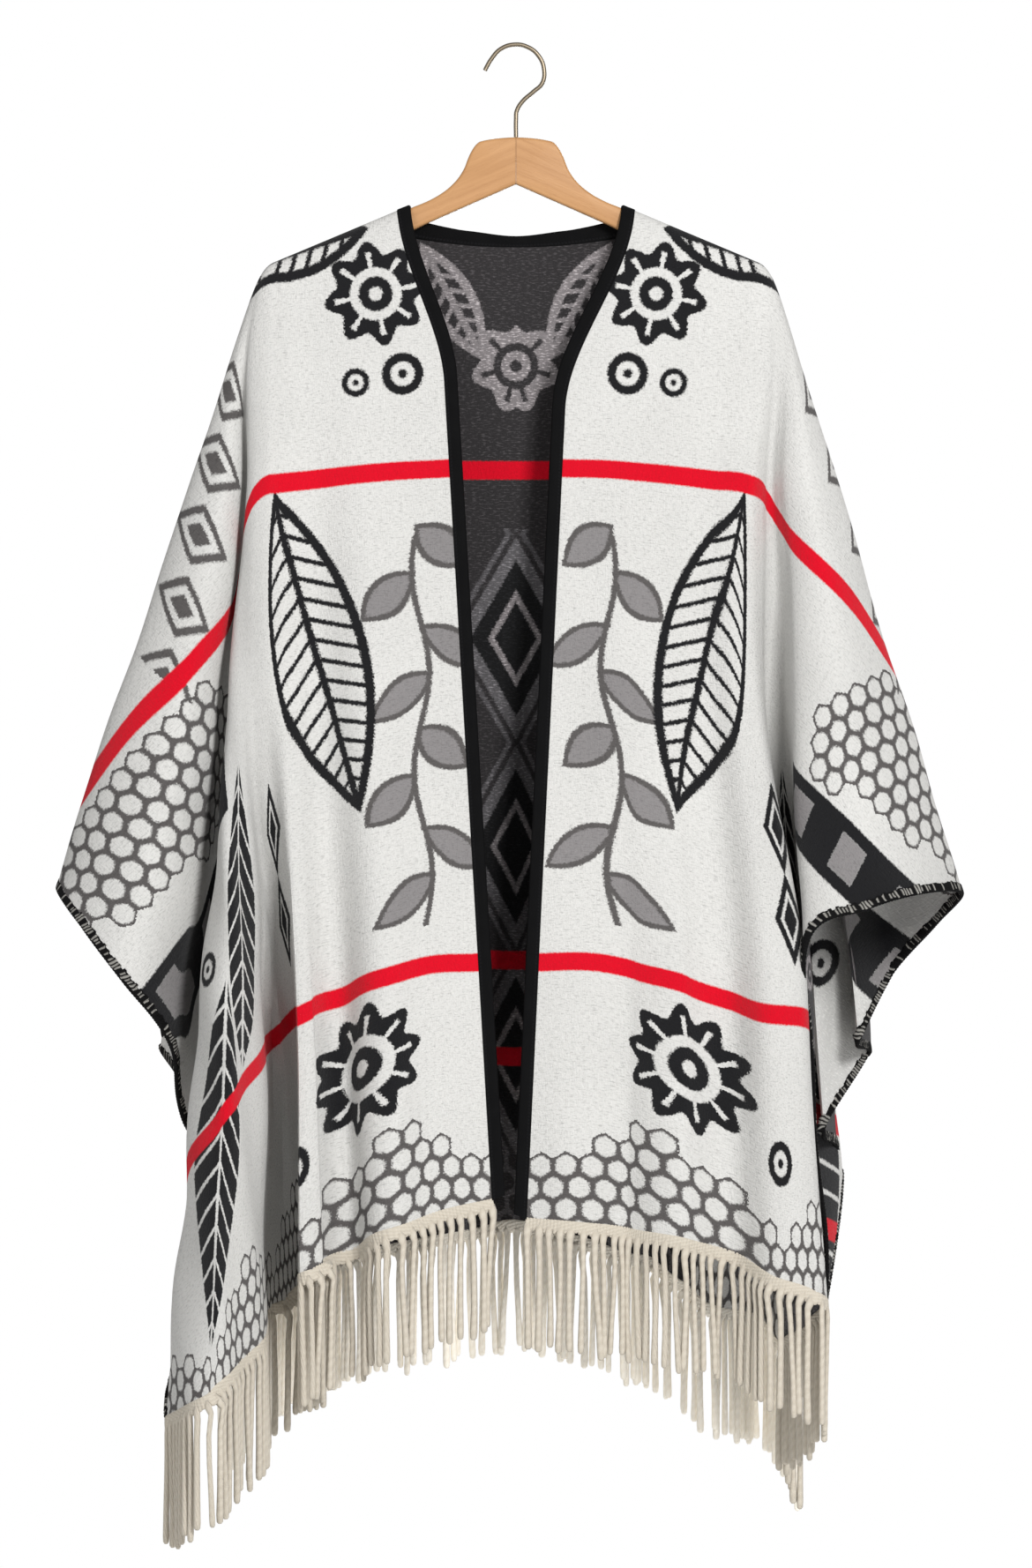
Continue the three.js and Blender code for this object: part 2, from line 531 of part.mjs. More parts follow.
// A three-sided strand, thin enough at its root to stay inside the strip there
function strand(root, k) {
  const length = STRAND_LENGTH * (1 + 0.04 * scatter(k));
  const tip = root.clone().add(new THREE.Vector3(3 * scatter(k + 0.3), 3 * scatter(k + 0.7), -length));
  const ring = (centre, radius) => [0, 1, 2].map((i) => {
    const angle = (2 * Math.PI * i) / 3 - Math.PI / 2;
    return centre.clone().add(new THREE.Vector3(radius * Math.cos(angle), radius * Math.sin(angle), 0));
  });
  const triangles = [[0, 2, 1], [3, 4, 5]];
  for (const a of [0, 1, 2]) {
    const b = (a + 1) % 3;
    triangles.push([a, b, b + 3], [a, b + 3, a + 3]);
  }
  return closedGeometry([...ring(tip, STRAND_RADIUS), ...ring(root, ROOT_RADIUS)], triangles);
}

function fringe(lines, first, last) {
  const columns = [];
  for (let i = 0; i <= (last - first) * SPLITS_PER_FOLD; i += 1) {
    const s = first + i / SPLITS_PER_FOLD;
    const from = clothLength(lines, s) + SEAM;
    columns.push({ s, from, to: from + STRIP_DEPTH });
  }
  let solid = toSolid(clothWall(lines, columns, 1, 1));
  const roots = columns.map(({ s, to }) => clothPoint(lines, s, to - ROOT_DEPTH));
  let travelled = STRAND_PITCH / 2;
  let count = 0;
  for (let i = 0; i + 1 < roots.length; i += 1) {
    const reach = roots[i].distanceTo(roots[i + 1]);
    for (; travelled < reach; travelled += STRAND_PITCH) {
      count += 1;
      solid = solid.add(toSolid(strand(roots[i].clone().lerp(roots[i + 1], travelled / reach), count)));
    }
    travelled -= reach;
  }
  return fromSolid(solid);
}

const cornerOf = (lines) => lines.findIndex((line) => line.name === 'corner');
const backCorners = backLines.flatMap((line, k) => (line.name === 'corner' ? [k] : []));
addMesh('fringe_front_left', fringe(leftLines, 0, cornerOf(leftLines)), YARN);
addMesh('fringe_front_right', fringe(rightLines, 0, cornerOf(rightLines)), YARN);
addMesh('fringe_back', fringe(backLines, backCorners[0], backCorners[1]), YARN);

// Hanger arms: two halves of one outline, rounded at the edges, joined in the middle
function armOutline() {
  const outline = new THREE.Shape();
  outline.moveTo(SEAM / 2, ARM_PEAK);
  outline.lineTo(33, ARM_PEAK - 4);
  outline.quadraticCurveTo(40, ARM_PEAK - 8, 46, ARM_PEAK - 26);
  outline.quadraticCurveTo(56, ARM_PEAK - 50, ARM_LINE_X, ARM_LINE_Z);
  outline.lineTo(ARM_REACH - ARM_END, armTop(ARM_REACH - ARM_END));
  outline.quadraticCurveTo(ARM_REACH, armTop(ARM_REACH), ARM_REACH, armTop(ARM_REACH) - ARM_END);
  outline.quadraticCurveTo(ARM_REACH, armTop(ARM_REACH) - 24, ARM_REACH - 12, armTop(ARM_REACH) - 21);
  outline.quadraticCurveTo(112, -176, 82, -161);
  outline.lineTo(SEAM / 2, ARM_NOTCH);
  return outline;
}

for (const [name, side] of [['hanger_arm_left', LEFT], ['hanger_arm_right', RIGHT]]) {
  const depth = ARM_THICKNESS - 2 * ARM_ROUND;
  const geometry = new THREE.ExtrudeGeometry(armOutline(), {
    depth, bevelThickness: ARM_ROUND, bevelSize: ARM_ROUND, bevelOffset: -ARM_ROUND, bevelSegments: 2,
    curveSegments: 4,
  });
  geometry.translate(0, 0, -depth / 2);
  geometry.rotateX(Math.PI / 2);
  const arm = addMesh(name, geometry, WOOD);
  if (side === LEFT) arm.rotation.z = Math.PI;
}

// Hook: an open ring, drawn in to the stem, whose thread end stands on the wood
function hookRoute() {
  const centre = HOOK_WIRE / 2 - HOOK_RADIUS;
  const points = [];
  for (let angle = 178; angle >= -22; angle -= 25) {
    const turn = THREE.MathUtils.degToRad(angle);
    points.push(new THREE.Vector3(HOOK_RADIUS * Math.cos(turn), 0, centre + HOOK_RADIUS * Math.sin(turn)));
  }
  points.push(new THREE.Vector3(15.5, 0, centre - 17.5));
  points.push(new THREE.Vector3(5.5, 0, centre - 26.5));
  points.push(new THREE.Vector3(0.6, 0, centre - 35));
  points.push(new THREE.Vector3(0, 0, centre - 42));
  points.push(new THREE.Vector3(0, 0, ARM_PEAK + SEAM));
  return new THREE.CatmullRomCurve3(points);
}

const wire = new THREE.Shape();
wire.absarc(0, 0, HOOK_WIRE / 2, 0, 2 * Math.PI);
const hook = new THREE.ExtrudeGeometry(wire, { extrudePath: hookRoute(), steps: 28, curveSegments: 4 });
addMesh('hanger_hook', hook, STEEL);

export default cape;
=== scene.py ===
import math

import bmesh
import bpy
import numpy as np
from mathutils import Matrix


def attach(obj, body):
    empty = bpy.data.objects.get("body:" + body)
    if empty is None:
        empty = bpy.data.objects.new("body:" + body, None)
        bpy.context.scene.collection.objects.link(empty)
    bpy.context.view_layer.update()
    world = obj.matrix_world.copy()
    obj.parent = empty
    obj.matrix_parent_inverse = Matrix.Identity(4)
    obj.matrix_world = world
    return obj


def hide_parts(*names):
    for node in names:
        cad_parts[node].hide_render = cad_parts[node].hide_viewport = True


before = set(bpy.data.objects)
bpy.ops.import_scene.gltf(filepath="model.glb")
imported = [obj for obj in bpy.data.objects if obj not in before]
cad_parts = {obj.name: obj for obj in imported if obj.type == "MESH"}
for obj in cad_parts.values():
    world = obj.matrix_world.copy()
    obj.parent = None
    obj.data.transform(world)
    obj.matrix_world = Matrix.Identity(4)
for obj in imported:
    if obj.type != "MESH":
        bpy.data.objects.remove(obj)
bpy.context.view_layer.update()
bpy.ops.object.select_all(action="DESELECT")

# Hanger arms
# Two beech halves sawn to one outline, rounded over on the edges, glued on a middle joint with the
# grain running down each arm, and varnished satin. Sizes here and below are millimetres.
LEFT, RIGHT = -1, 1
ARM_PEAK, ARM_NOTCH, ARM_REACH, ARM_END = -82.4, -124.8, 211.0, 12.0
ARM_LINE_X, ARM_LINE_Z, ARM_SLOPE = 91.6, -145.0, 0.42
ARM_THICKNESS, ARM_ROUND = 12.0, 2.8
PAST_JOINT, GLUE = 8.0, 0.05
EDGE_SOFT = 1.7


def operator(operation, turned=False):
    """A method that adds one Math node, with its values in turned order or not."""
    def method(self, *others):
        values = (self, *others)
        return self.maths(operation, *(values[::-1] if turned else values))
    return method


class Thread:
    """A number that runs through a material's nodes, and whose arithmetic adds Math nodes."""

    def __init__(self, finish, socket):
        self.finish, self.socket = finish, socket

    def maths(self, operation, *values, clamp=False):
        settings = {"operation": operation, "use_clamp": clamp}
        node = self.finish.node("ShaderNodeMath", settings, dict(enumerate(values)))
        return Thread(self.finish, node.outputs[0])

    __add__, __radd__ = operator("ADD"), operator("ADD", turned=True)
    __sub__, __rsub__ = operator("SUBTRACT"), operator("SUBTRACT", turned=True)
    __mul__, __rmul__ = operator("MULTIPLY"), operator("MULTIPLY", turned=True)
    __and__, __or__ = operator("MULTIPLY"), operator("MAXIMUM")
    __truediv__ = operator("DIVIDE")
    __pow__ = operator("POWER")
    __mod__ = operator("FLOORED_MODULO")
    __abs__ = operator("ABSOLUTE")
    least, most = operator("MINIMUM"), operator("MAXIMUM")
    above, below = operator("GREATER_THAN"), operator("LESS_THAN")
    sine, root = operator("SINE"), operator("SQRT")
    bearing = operator("ARCTAN2")


class Finish:
    """A material built from nodes."""

    def __init__(self, name):
        self.material = bpy.data.materials.new(name)
        self.material.use_nodes = True
        self.tree = self.material.node_tree
        self.shader = self.tree.nodes["Principled BSDF"]

    def node(self, kind, settings=None, sockets=None):
        node = self.tree.nodes.new(kind)
        for name, value in (settings or {}).items():
            setattr(node, name, value)
        for key, value in (sockets or {}).items():
            self.plug(node.inputs[key], value)
        return node

    def plug(self, socket, value):
        if isinstance(value, Thread):
            value = value.socket
        if isinstance(value, bpy.types.NodeSocket):
            self.tree.links.new(value, socket)
        else:
            socket.default_value = value

    def thread(self, socket):
        return Thread(self, socket)

    def apart(self, vector):
        parts = self.node("ShaderNodeSeparateXYZ", sockets={"Vector": vector})
        return [self.thread(parts.outputs[k]) for k in "XYZ"]

    def together(self, x, y, z):
        return self.node("ShaderNodeCombineXYZ", sockets={"X": x, "Y": y, "Z": z}).outputs[0]

    def place(self):
        """Object coordinates."""
        return self.node("ShaderNodeTexCoord").outputs["Object"]

    def threads(self):
        """The piece's own map, which follows its cloth, ribbon or yarn."""
        return self.node("ShaderNodeUVMap", {"uv_map": "cloth"}).outputs["UV"]

    def in_cloth(self):
        """The place in the cloth, in mm: across and down."""
        across, down, _ = self.apart(self.threads())
        return across * 1000.0, down * 1000.0

    def noise(self, vector, scale, detail=2.0, roughness=0.5, stretch=None):
        if stretch:
            sockets = {"Vector": vector, "Scale": stretch}
            vector = self.node("ShaderNodeMapping", sockets=sockets).outputs[0]
        made = self.node("ShaderNodeTexNoise", sockets={
            "Vector": vector, "Scale": scale, "Detail": detail, "Roughness": roughness})
        return self.thread(made.outputs["Fac"])

    def blend(self, amount, first, second, way="MIX"):
        """first where amount is 0, second where it is 1."""
        node = self.node("ShaderNodeMix", {"data_type": "RGBA", "blend_type": way}, {"Factor": amount})
        colours = [socket for socket in node.inputs if socket.type == "RGBA"]
        for socket, colour in zip(colours, (first, second)):
            self.plug(socket, (*colour, 1) if isinstance(colour, tuple) else colour)
        return next(socket for socket in node.outputs if socket.type == "RGBA")

    def bump(self, height, distance, strength=1.0):
        sockets = {"Height": height, "Distance": distance, "Strength": strength}
        return self.node("ShaderNodeBump", sockets=sockets).outputs["Normal"]

    def set(self, **sockets):
        for name, value in sockets.items():
            key = name.replace("_", " ").title().replace("Ior", "IOR")
            if isinstance(value, tuple) and len(value) == 3:
                value = (*value, 1)
            self.plug(self.shader.inputs[key], value)
        return self.material


def shade(red, green, blue):
    """A colour as seen, 0 to 255, made linear."""
    seen = (red / 255, green / 255, blue / 255)
    return tuple(((c + 0.055) / 1.055) ** 2.4 if c > 0.0393 else c / 12.92 for c in seen)


def filled(distance):
    """1 inside a shape, 0 outside it, from the distance to its edge."""
    inside = 0.5 - distance / EDGE_SOFT
    return inside.maths("ADD", inside, 0.0, clamp=True)


def line(distance, half):
    return filled(abs(distance) - half)


def carried(piece, slot, *nodes):
    """The piece's material slot, which is not used, the body that it rides on and the nodes that it stands
    for.
    """
    if nodes:
        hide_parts(*nodes)
    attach(piece, "root")


def arm_top(x):
    return ARM_LINE_Z - ARM_SLOPE * (x - ARM_LINE_X)


def bow(start, pull, end, steps):
    return [tuple((1 - t) ** 2 * np.array(start) + 2 * t * (1 - t) * np.array(pull) + t * t * np.array(end))
            for t in np.linspace(0, 1, steps + 1)[1:]]


def arm_outline():
    low = arm_top(ARM_REACH)
    outline = [(-PAST_JOINT, ARM_PEAK), (0, ARM_PEAK)]
    outline += bow(outline[-1], (20, ARM_PEAK - 0.4), (33, ARM_PEAK - 4), 6)
    outline += bow(outline[-1], (40, ARM_PEAK - 8), (46, ARM_PEAK - 26), 8)
    outline += bow(outline[-1], (56, ARM_PEAK - 50), (ARM_LINE_X, ARM_LINE_Z), 14)
    outline += [(ARM_REACH - ARM_END, arm_top(ARM_REACH - ARM_END))]
    outline += bow(outline[-1], (ARM_REACH, low), (ARM_REACH, low - ARM_END), 6)
    outline += bow(outline[-1], (ARM_REACH, low - 24), (ARM_REACH - 12, low - 21), 5)
    outline += bow(outline[-1], (112, -176), (82, -161), 16)
    return outline + [(0, ARM_NOTCH), (-PAST_JOINT, ARM_NOTCH)]


beech = Finish("beech")
x, y, z = beech.apart(beech.place())
along_arm = abs(x) * 0.92 - z * 0.39
across_arm = abs(x) * 0.39 + z * 0.92
right_half = x.above(0.0)
grain_place = beech.together(along_arm * 6.0, y * 60.0, across_arm * 150.0 + right_half * 7.0)
grain = beech.noise(grain_place, 1.0, 4.0, 0.6)
flecks = beech.noise(beech.together(along_arm * 90.0, y * 900.0, across_arm * 900.0), 1.0, 1.0)
tone = (grain - 0.5) * 1.7 + 0.3 + flecks.above(0.64) * 0.18 + right_half * 0.08
joint = line(x * 1000.0, 0.28)
wood = beech.blend(tone, shade(182, 137, 92), shade(158, 113, 70))
beech_wood = beech.set(base_color=beech.blend(joint, wood, shade(136, 97, 60)),
                       roughness=0.42 + grain * 0.12, normal=beech.bump(grain + flecks, 0.00012),
                       specular_ior_level=0.3)

for side, word in ((LEFT, "left"), (RIGHT, "right")):
    bpy.ops.curve.primitive_bezier_curve_add()
    arm = bpy.context.object
    arm.name = f"wooden_arm_{word}"
    sketch = arm.data
    sketch.dimensions, sketch.fill_mode = "2D", "BOTH"
    sketch.splines.clear()
    corners = arm_outline()
    spline = sketch.splines.new("POLY")
    spline.points.add(len(corners) - 1)
    for point, (px, pz) in zip(spline.points, corners):
        point.co = (side * px / 1000, pz / 1000, 0, 1)
    spline.use_cyclic_u = True
    sketch.offset = -ARM_ROUND / 1000
    sketch.extrude = (ARM_THICKNESS / 2 - ARM_ROUND) / 1000
    sketch.bevel_depth, sketch.bevel_resolution = ARM_ROUND / 1000, 4
    bpy.ops.object.convert(target="MESH")
    arm.rotation_euler = (math.pi / 2, 0, 0)
    bpy.ops.object.transform_apply(location=True, rotation=True, scale=True)
    bpy.ops.object.mode_set(mode="EDIT")
    bpy.ops.mesh.select_all(action="SELECT")
    bpy.ops.mesh.remove_doubles(threshold=1e-5)
    bpy.ops.mesh.select_all(action="SELECT")
    bpy.ops.mesh.bisect(plane_co=(side * GLUE / 1000, 0, 0), plane_no=(side, 0, 0), use_fill=True,
                        clear_inner=True)
    bpy.ops.mesh.select_all(action="SELECT")
    bpy.ops.mesh.normals_make_consistent(inside=False)
    bpy.ops.object.mode_set(mode="OBJECT")
    bpy.ops.object.shade_smooth_by_angle(angle=math.radians(35))
    arm.data.materials.clear()
    arm.data.materials.append(beech_wood)
    carried(arm, "wood", f"hanger_arm_{word}")
    bpy.ops.object.select_all(action="DESELECT")

# Hook
# 4 mm steel wire, bent to an open ring and drawn in to a straight stem that screws into the wood;
# nickel-plated and brushed satin, with a blunt cut tip.
HOOK_WIRE, HOOK_RADIUS = 4.0, 25.6


def hook_route():
    centre = HOOK_WIRE / 2 - HOOK_RADIUS
    route = [(-28.2, centre + 2.0), (-26.0, centre + 6.4)]
    route += [(HOOK_RADIUS * math.cos(math.radians(a)), centre + HOOK_RADIUS * math.sin(math.radians(a)))
              for a in range(152, -23, -29)]
    route += [(15.5, centre - 17.5), (5.5, centre - 26.5), (0.6, centre - 35), (0, centre - 42)]
    return route + [(0, ARM_PEAK + 0.3)]


nickel = Finish("satin nickel")
brushed = nickel.noise(nickel.place(), 300.0, 2.0, 0.5, stretch=(1.0, 1.0, 6.0))
satin_nickel = nickel.set(base_color=nickel.blend(brushed, shade(122, 111, 95), shade(138, 127, 110)),
                          metallic=1.0, roughness=0.38 + brushed * 0.08)

bpy.ops.curve.primitive_bezier_curve_add()
hook = bpy.context.object
hook.name = "wire_hook"
wire = hook.data
wire.dimensions = "3D"
wire.splines.clear()
route = hook_route()
spline = wire.splines.new("BEZIER")
spline.bezier_points.add(len(route) - 1)
for point, (px, pz) in zip(spline.bezier_points, route):
    point.co = (px / 1000, 0, pz / 1000)
    point.handle_left_type = point.handle_right_type = "AUTO"
wire.resolution_u, wire.bevel_depth, wire.bevel_resolution = 12, HOOK_WIRE / 2000, 5
wire.use_fill_caps = True
bpy.ops.object.convert(target="MESH")
bpy.ops.object.shade_smooth_by_angle(angle=math.radians(50))
hook.data.materials.append(satin_nickel)
carried(hook, "steel", "hanger_hook")
bpy.ops.object.select_all(action="DESELECT")

# Front panels and back panel
# Napped double-woven blanket cloth, 2.4 mm thick. Each panel is cut along the front edge or the neck
# and sewn at the shoulder. It hangs straight from the arms and fans out in folds past their ends.

# Here s counts across the fold lines, r runs down the cloth from the shoulder, and u and v are the
# place in the flat cloth, across from its middle and down
WALL = 2.4
SEAM = 0.3
REST_GAP = 0.55
BINDING_WIDTH = 10.0
APEX_X = 219.0
CLOTH_ABOVE_ARM = REST_GAP + WALL / 2 * math.hypot(1, ARM_SLOPE)
SHOULDER_ROUNDING = 13.0
FOLDS_BEGIN, FOLDS_FULL = 10.0, 220.0
PLAIN_FORWARD = 0.05
FOLD_CHANGE = {LEFT: (330.0, 760.0), RIGHT: (230.0, 680.0)}
# Top, lean, flare and flare depth of the front edges
FRONT_EDGE = {LEFT: (62.6, 0.0587, 33.3, 155.0), RIGHT: (41.7, 0.0477, 54.2, 180.0)}
# The weft turns by this much for each mm below the arm, so that the stripes sag towards the sides
STRIPE_SAG = 0.07
STRIPE_SAG_FROM = 70.0

# Fold lines: name, place along the arm, lead out of the arm's end, out and forward of the upper and
# of the lower form, length, grain angle
LEFT_FOLDS = [
    ("front edge", 0.0, 90, 0, 0.042, 0, 0.065, 908, 90),
    ("front swell", 0.3, 90, 0, 0.045, 0, 0.07, 905, 90),
    ("front flat", 0.55, 90, 0, 0.055, 0, 0.085, 909, 90),
    ("front dip", 0.8, 90, 0, 0.045, 0, 0.055, 916, 90),
    ("roll start", 0.92, 90, 0, 0.062, 0, 0.088, 921, 90),
    ("front roll", 1, 90, -0.02, 0.07, -0.04, 0.09, 925, 90),
    ("recess", 1, 81, 0.02, 0.085, -0.03, -0.05, 938, 84),
    ("recess floor", 1, 74, 0.04, 0.085, -0.012, -0.05, 957, 78),
    ("tube inner", 1, 66, 0.06, 0.08, 0.008, 0.08, 985, 71),
    ("tube crest", 1, 55, 0.075, 0.065, 0.045, 0.15, 1035, 62),
    ("corner", 1, 47, 0.076, 0.03, 0.082, 0.08, 1056, 56),
    ("side valley", 1, 40, 0.064, -0.04, 0.066, -0.045, 890, 49),
    ("valley floor", 1, 34, 0.084, -0.04, 0.084, -0.045, 805, 43),
    ("flap inner", 1, 28, 0.105, 0.04, 0.12, 0.04, 722, 38),
    ("flap crest", 1, 19, 0.175, 0.11, 0.185, 0.11, 676, 33),
    ("flap outer", 1, 9, 0.265, 0.085, 0.27, 0.085, 631, 28.5),
    ("seam", 1, 0, 0.331, 0, 0.331, 0, 604, 24),
    ("back ridge", 1, -9, 0.285, -0.09, 0.28, -0.1, 612, 28),
    ("back lobe", 1, -19, 0.2, -0.14, 0.2, -0.17, 640, 34),
    ("back valley 1", 1, -29, 0.14, -0.07, 0.15, -0.07, 690, 40),
    ("back fold 1", 1, -39, 0.125, -0.16, 0.141, -0.2, 742, 46),
    ("back valley 2", 1, -49, 0.08, -0.08, 0.085, -0.08, 800, 52),
    ("corner", 1, -59, 0.07, -0.15, 0.06, -0.2, 1050, 58),
    ("back valley 3", 1, -69, 0.03, -0.08, 0.01, -0.08, 975, 67),
    ("back fold 3", 1, -80, 0, -0.13, -0.03, -0.18, 945, 78),
    ("back roll", 1, -90, -0.03, -0.07, -0.07, -0.09, 925, 90),
    ("back flat", 0.74, -90, 0, -0.05, 0, -0.075, 935, 90),
    ("neck", 0.485, -90, 0, -0.035, 0, -0.05, 948, 90),
    ("back inner", 0.23, -90, 0, -0.04, 0, -0.065, 966, 90),
]
RIGHT_FOLDS = [
    ("front edge", 0.0, 90, 0, 0.042, 0, 0.06, 925, 90),
    ("front swell", 0.25, 90, 0, 0.045, 0, 0.065, 918, 90),
    ("front dip", 0.42, 90, 0, 0.045, 0, 0.05, 914, 90),
    ("front flat", 0.65, 90, 0, 0.06, 0, 0.085, 913, 90),
    ("front crease", 0.84, 90, 0, 0.045, 0, 0.065, 915, 90),
    ("front roll", 1, 90, -0.07, 0.065, 0.01, 0.1, 930, 90),
    ("roll crest", 1, 78, -0.05, 0.06, 0.05, 0.1, 945, 85),
    ("roll edge", 1, 67, -0.02, 0.02, 0.043, 0.03, 972, 79),
    ("valley floor", 1, 60, 0, -0.01, 0.03, -0.06, 1000, 72),
    ("corner", 1, 52, 0.03, -0.01, 0.044, -0.06, 1040, 66),
    ("deep valley", 1, 42, 0.05, 0.04, 0.056, 0.02, 760, 60),
    ("flap inner", 1, 31, 0.075, 0.11, 0.05, 0.13, 628, 54),
    ("flap crest", 1, 20, 0.16, 0.16, 0.145, 0.165, 605, 46),
    ("flap outer", 1, 9, 0.25, 0.1, 0.245, 0.105, 597, 39),
    ("seam", 1, 0, 0.306, 0, 0.306, 0, 606, 32.5),
    ("back ridge", 1, -9, 0.265, -0.08, 0.255, -0.085, 630, 35),
    ("back lobe", 1, -18, 0.19, -0.13, 0.18, -0.15, 672, 38),
    ("back valley 1", 1, -27, 0.125, -0.07, 0.12, -0.08, 722, 42),
    ("back fold 1", 1, -36, 0.12, -0.15, 0.134, -0.18, 750, 47),
    ("back valley 2", 1, -45, 0.075, -0.08, 0.07, -0.1, 806, 52),
    ("back fold 2", 1, -54, 0.08, -0.15, 0.092, -0.21, 860, 57),
    ("corner", 1, -63, 0.035, -0.08, 0.045, -0.11, 1045, 63),
    ("back fold 3", 1, -72, 0.02, -0.14, 0.01, -0.2, 1005, 71),
    ("back valley 3", 1, -81, -0.02, -0.07, -0.05, -0.1, 968, 80),
    ("back roll", 1, -90, -0.04, -0.09, -0.1, -0.13, 938, 90),
    ("back flat", 0.74, -90, 0, -0.05, 0, -0.07, 940, 90),
    ("neck", 0.485, -90, 0, -0.035, 0, -0.055, 950, 90),
    ("back inner", 0.23, -90, 0, -0.04, 0, -0.06, 966, 90),
]
BACK_MIDDLE = ("middle", 0, -90, 0, -0.045, 0, -0.05, 978, 90)
# Soft upright folds of the fronts: place across the cloth, height, half width
SOFT_FOLDS = [(-190, -9.0, 27), (-131, 9.0, 30), (108, 8.0, 26), (156, -7.0, 24)]


def ease(x, start, end):
    t = np.clip((x - start) / (end - start), 0, 1)
    return t * t * (3 - 2 * t)


def lerp(a, b, t):
    return a + (b - a) * t


def shoulder_height(x):
    return ARM_LINE_Z - ARM_SLOPE * (np.abs(x) - ARM_LINE_X) + CLOTH_ABOVE_ARM


APEX_Z = float(shoulder_height(APEX_X))


def front_edge(side, depth):
    top, lean, flare, flare_depth = FRONT_EDGE[side]
    return top - lean * depth + flare * (1 - ease(depth, 0, flare_depth))


def rounded(r):
    return SHOULDER_ROUNDING * (1 - np.exp(-r / SHOULDER_ROUNDING))


def cone_line(side, row, silhouette):
    """A fold line out of the arm's end: x, y, z and the place in the cloth (u, v) at distances r."""
    _, _, lead, out_up, fwd_up, out_low, fwd_low, _, grain = row
    lead, grain = math.radians(lead), math.radians(grain)
    arm = math.atan(ARM_SLOPE)
    leave = (side * math.cos(lead) * math.cos(arm), -math.sin(lead), -math.cos(lead) * math.sin(arm))

    def at(r):
        low = ease(r, *FOLD_CHANGE[side])
        full = ease(r, FOLDS_BEGIN, FOLDS_FULL)
        out = lerp(silhouette * math.cos(lead), lerp(out_up, out_low, low), full)
        fwd = lerp(PLAIN_FORWARD * math.sin(lead), lerp(fwd_up, fwd_low, low), full)
        bend = rounded(r)
        drop = (r - bend) / np.sqrt(out ** 2 + fwd ** 2 + 1)
        return np.stack([
            side * APEX_X + leave[0] * bend + side * out * drop,
            leave[1] * bend - fwd * drop,
            APEX_Z + leave[2] * bend - drop,
            side * (APEX_X + (r - bend) * math.cos(grain)),
            (1 - STRIPE_SAG) * (r - bend) * math.sin(grain),
        ], axis=-1)
    return at


def panel_line(side, row, apex_line, inner_edge, start_x):
    """A fold line that starts on the shoulder, between the neck and the arm's end."""
    _, along, lead, _, fwd_up, _, fwd_low, _, _ = row
    facing = -math.copysign(1, lead)

    def at(r):
        fwd = np.abs(lerp(fwd_up, fwd_low, ease(r, *FOLD_CHANGE[side])))
        bend = rounded(r)
        drop = (r - bend) / np.hypot(fwd, 1)
        roll_x = apex_line(r)[..., 0]
        x = lerp(side * inner_edge(drop), roll_x, along)
        z = shoulder_height(start_x) - drop
        u = x + side * (APEX_X - np.abs(roll_x)) * along
        beside = np.clip(np.abs(u) - STRIPE_SAG_FROM, 0, None) / (APEX_X - STRIPE_SAG_FROM)
        sag = STRIPE_SAG * beside ** 1.25
        v = (APEX_Z - shoulder_height(start_x) + r - bend) * (1 - sag)
        return np.stack([x, facing * (bend + fwd * drop), z, u, v], axis=-1)
    return at


def fold_lines(side, rows):
    by_name = {row[0]: row for row in rows}
    silhouette = by_name["seam"][3]
    rolls = {name: cone_line(side, by_name[name], silhouette) for name in ("front roll", "back roll")}

    def cloth_edge(depth):
        return front_edge(side, depth) + BINDING_WIDTH + SEAM

    lines = []
    for row in rows:
        name, along, lead = row[:3]
        if along == 1:
            at = cone_line(side, row, silhouette)
        elif lead > 0:
            start = lerp(float(cloth_edge(0)), APEX_X, along)
            at = panel_line(side, row, rolls["front roll"], cloth_edge, start)
        else:
            at = panel_line(side, row, rolls["back roll"], lambda depth: 0 * depth, along * APEX_X)
        lines.append({"name": name, "along": along, "length": row[7], "at": at, "hand": -side})
    return lines


def flow(p0, p1, p2, p3, t, d01, d12, d23):
    """Smooth passage from p1 to p2, with the next values setting the slopes."""
    m1 = (p1 - p0) * (d12 / (d01 + d12)) * (d12 / d01) + (p2 - p1) * (d01 / (d01 + d12))
    m2 = (p2 - p1) * (d23 / (d12 + d23)) + (p3 - p2) * (d12 / (d12 + d23)) * (d12 / d23)
    t2, t3 = t * t, t * t * t
    return p1 * (2 * t3 - 3 * t2 + 1) + m1 * (t3 - 2 * t2 + t) + p2 * (3 * t2 - 2 * t3) + m2 * (t3 - t2)


def cloth_at(lines, s, r):
    """The cloth's middle surface with its (u, v), at positions s across the fold lines and r down."""
    s, r = np.broadcast_arrays(np.asarray(s, float), np.asarray(r, float))
    found = np.empty(s.shape + (5,))
    interval = np.clip(np.floor(s), 0, len(lines) - 2).astype(int)
    for j in np.unique(interval):
        here = interval == j
        rr = r[here]
        near, after = lines[j]["at"](rr), lines[j + 1]["at"](rr)
        before = lines[j - 1]["at"](rr) if j > 0 else 2 * near - after
        beyond = lines[j + 2]["at"](rr) if j + 2 < len(lines) else 2 * after - near
        gaps = [np.linalg.norm(b[:, :3] - a[:, :3], axis=1)[:, None] + 0.01
                for a, b in ((before, near), (near, after), (after, beyond))]
        found[here] = flow(before, near, after, beyond, (s[here] - j)[:, None], *gaps)
    return found


def unit(vectors):
    return vectors / np.maximum(np.linalg.norm(vectors, axis=-1, keepdims=True), 1e-9)


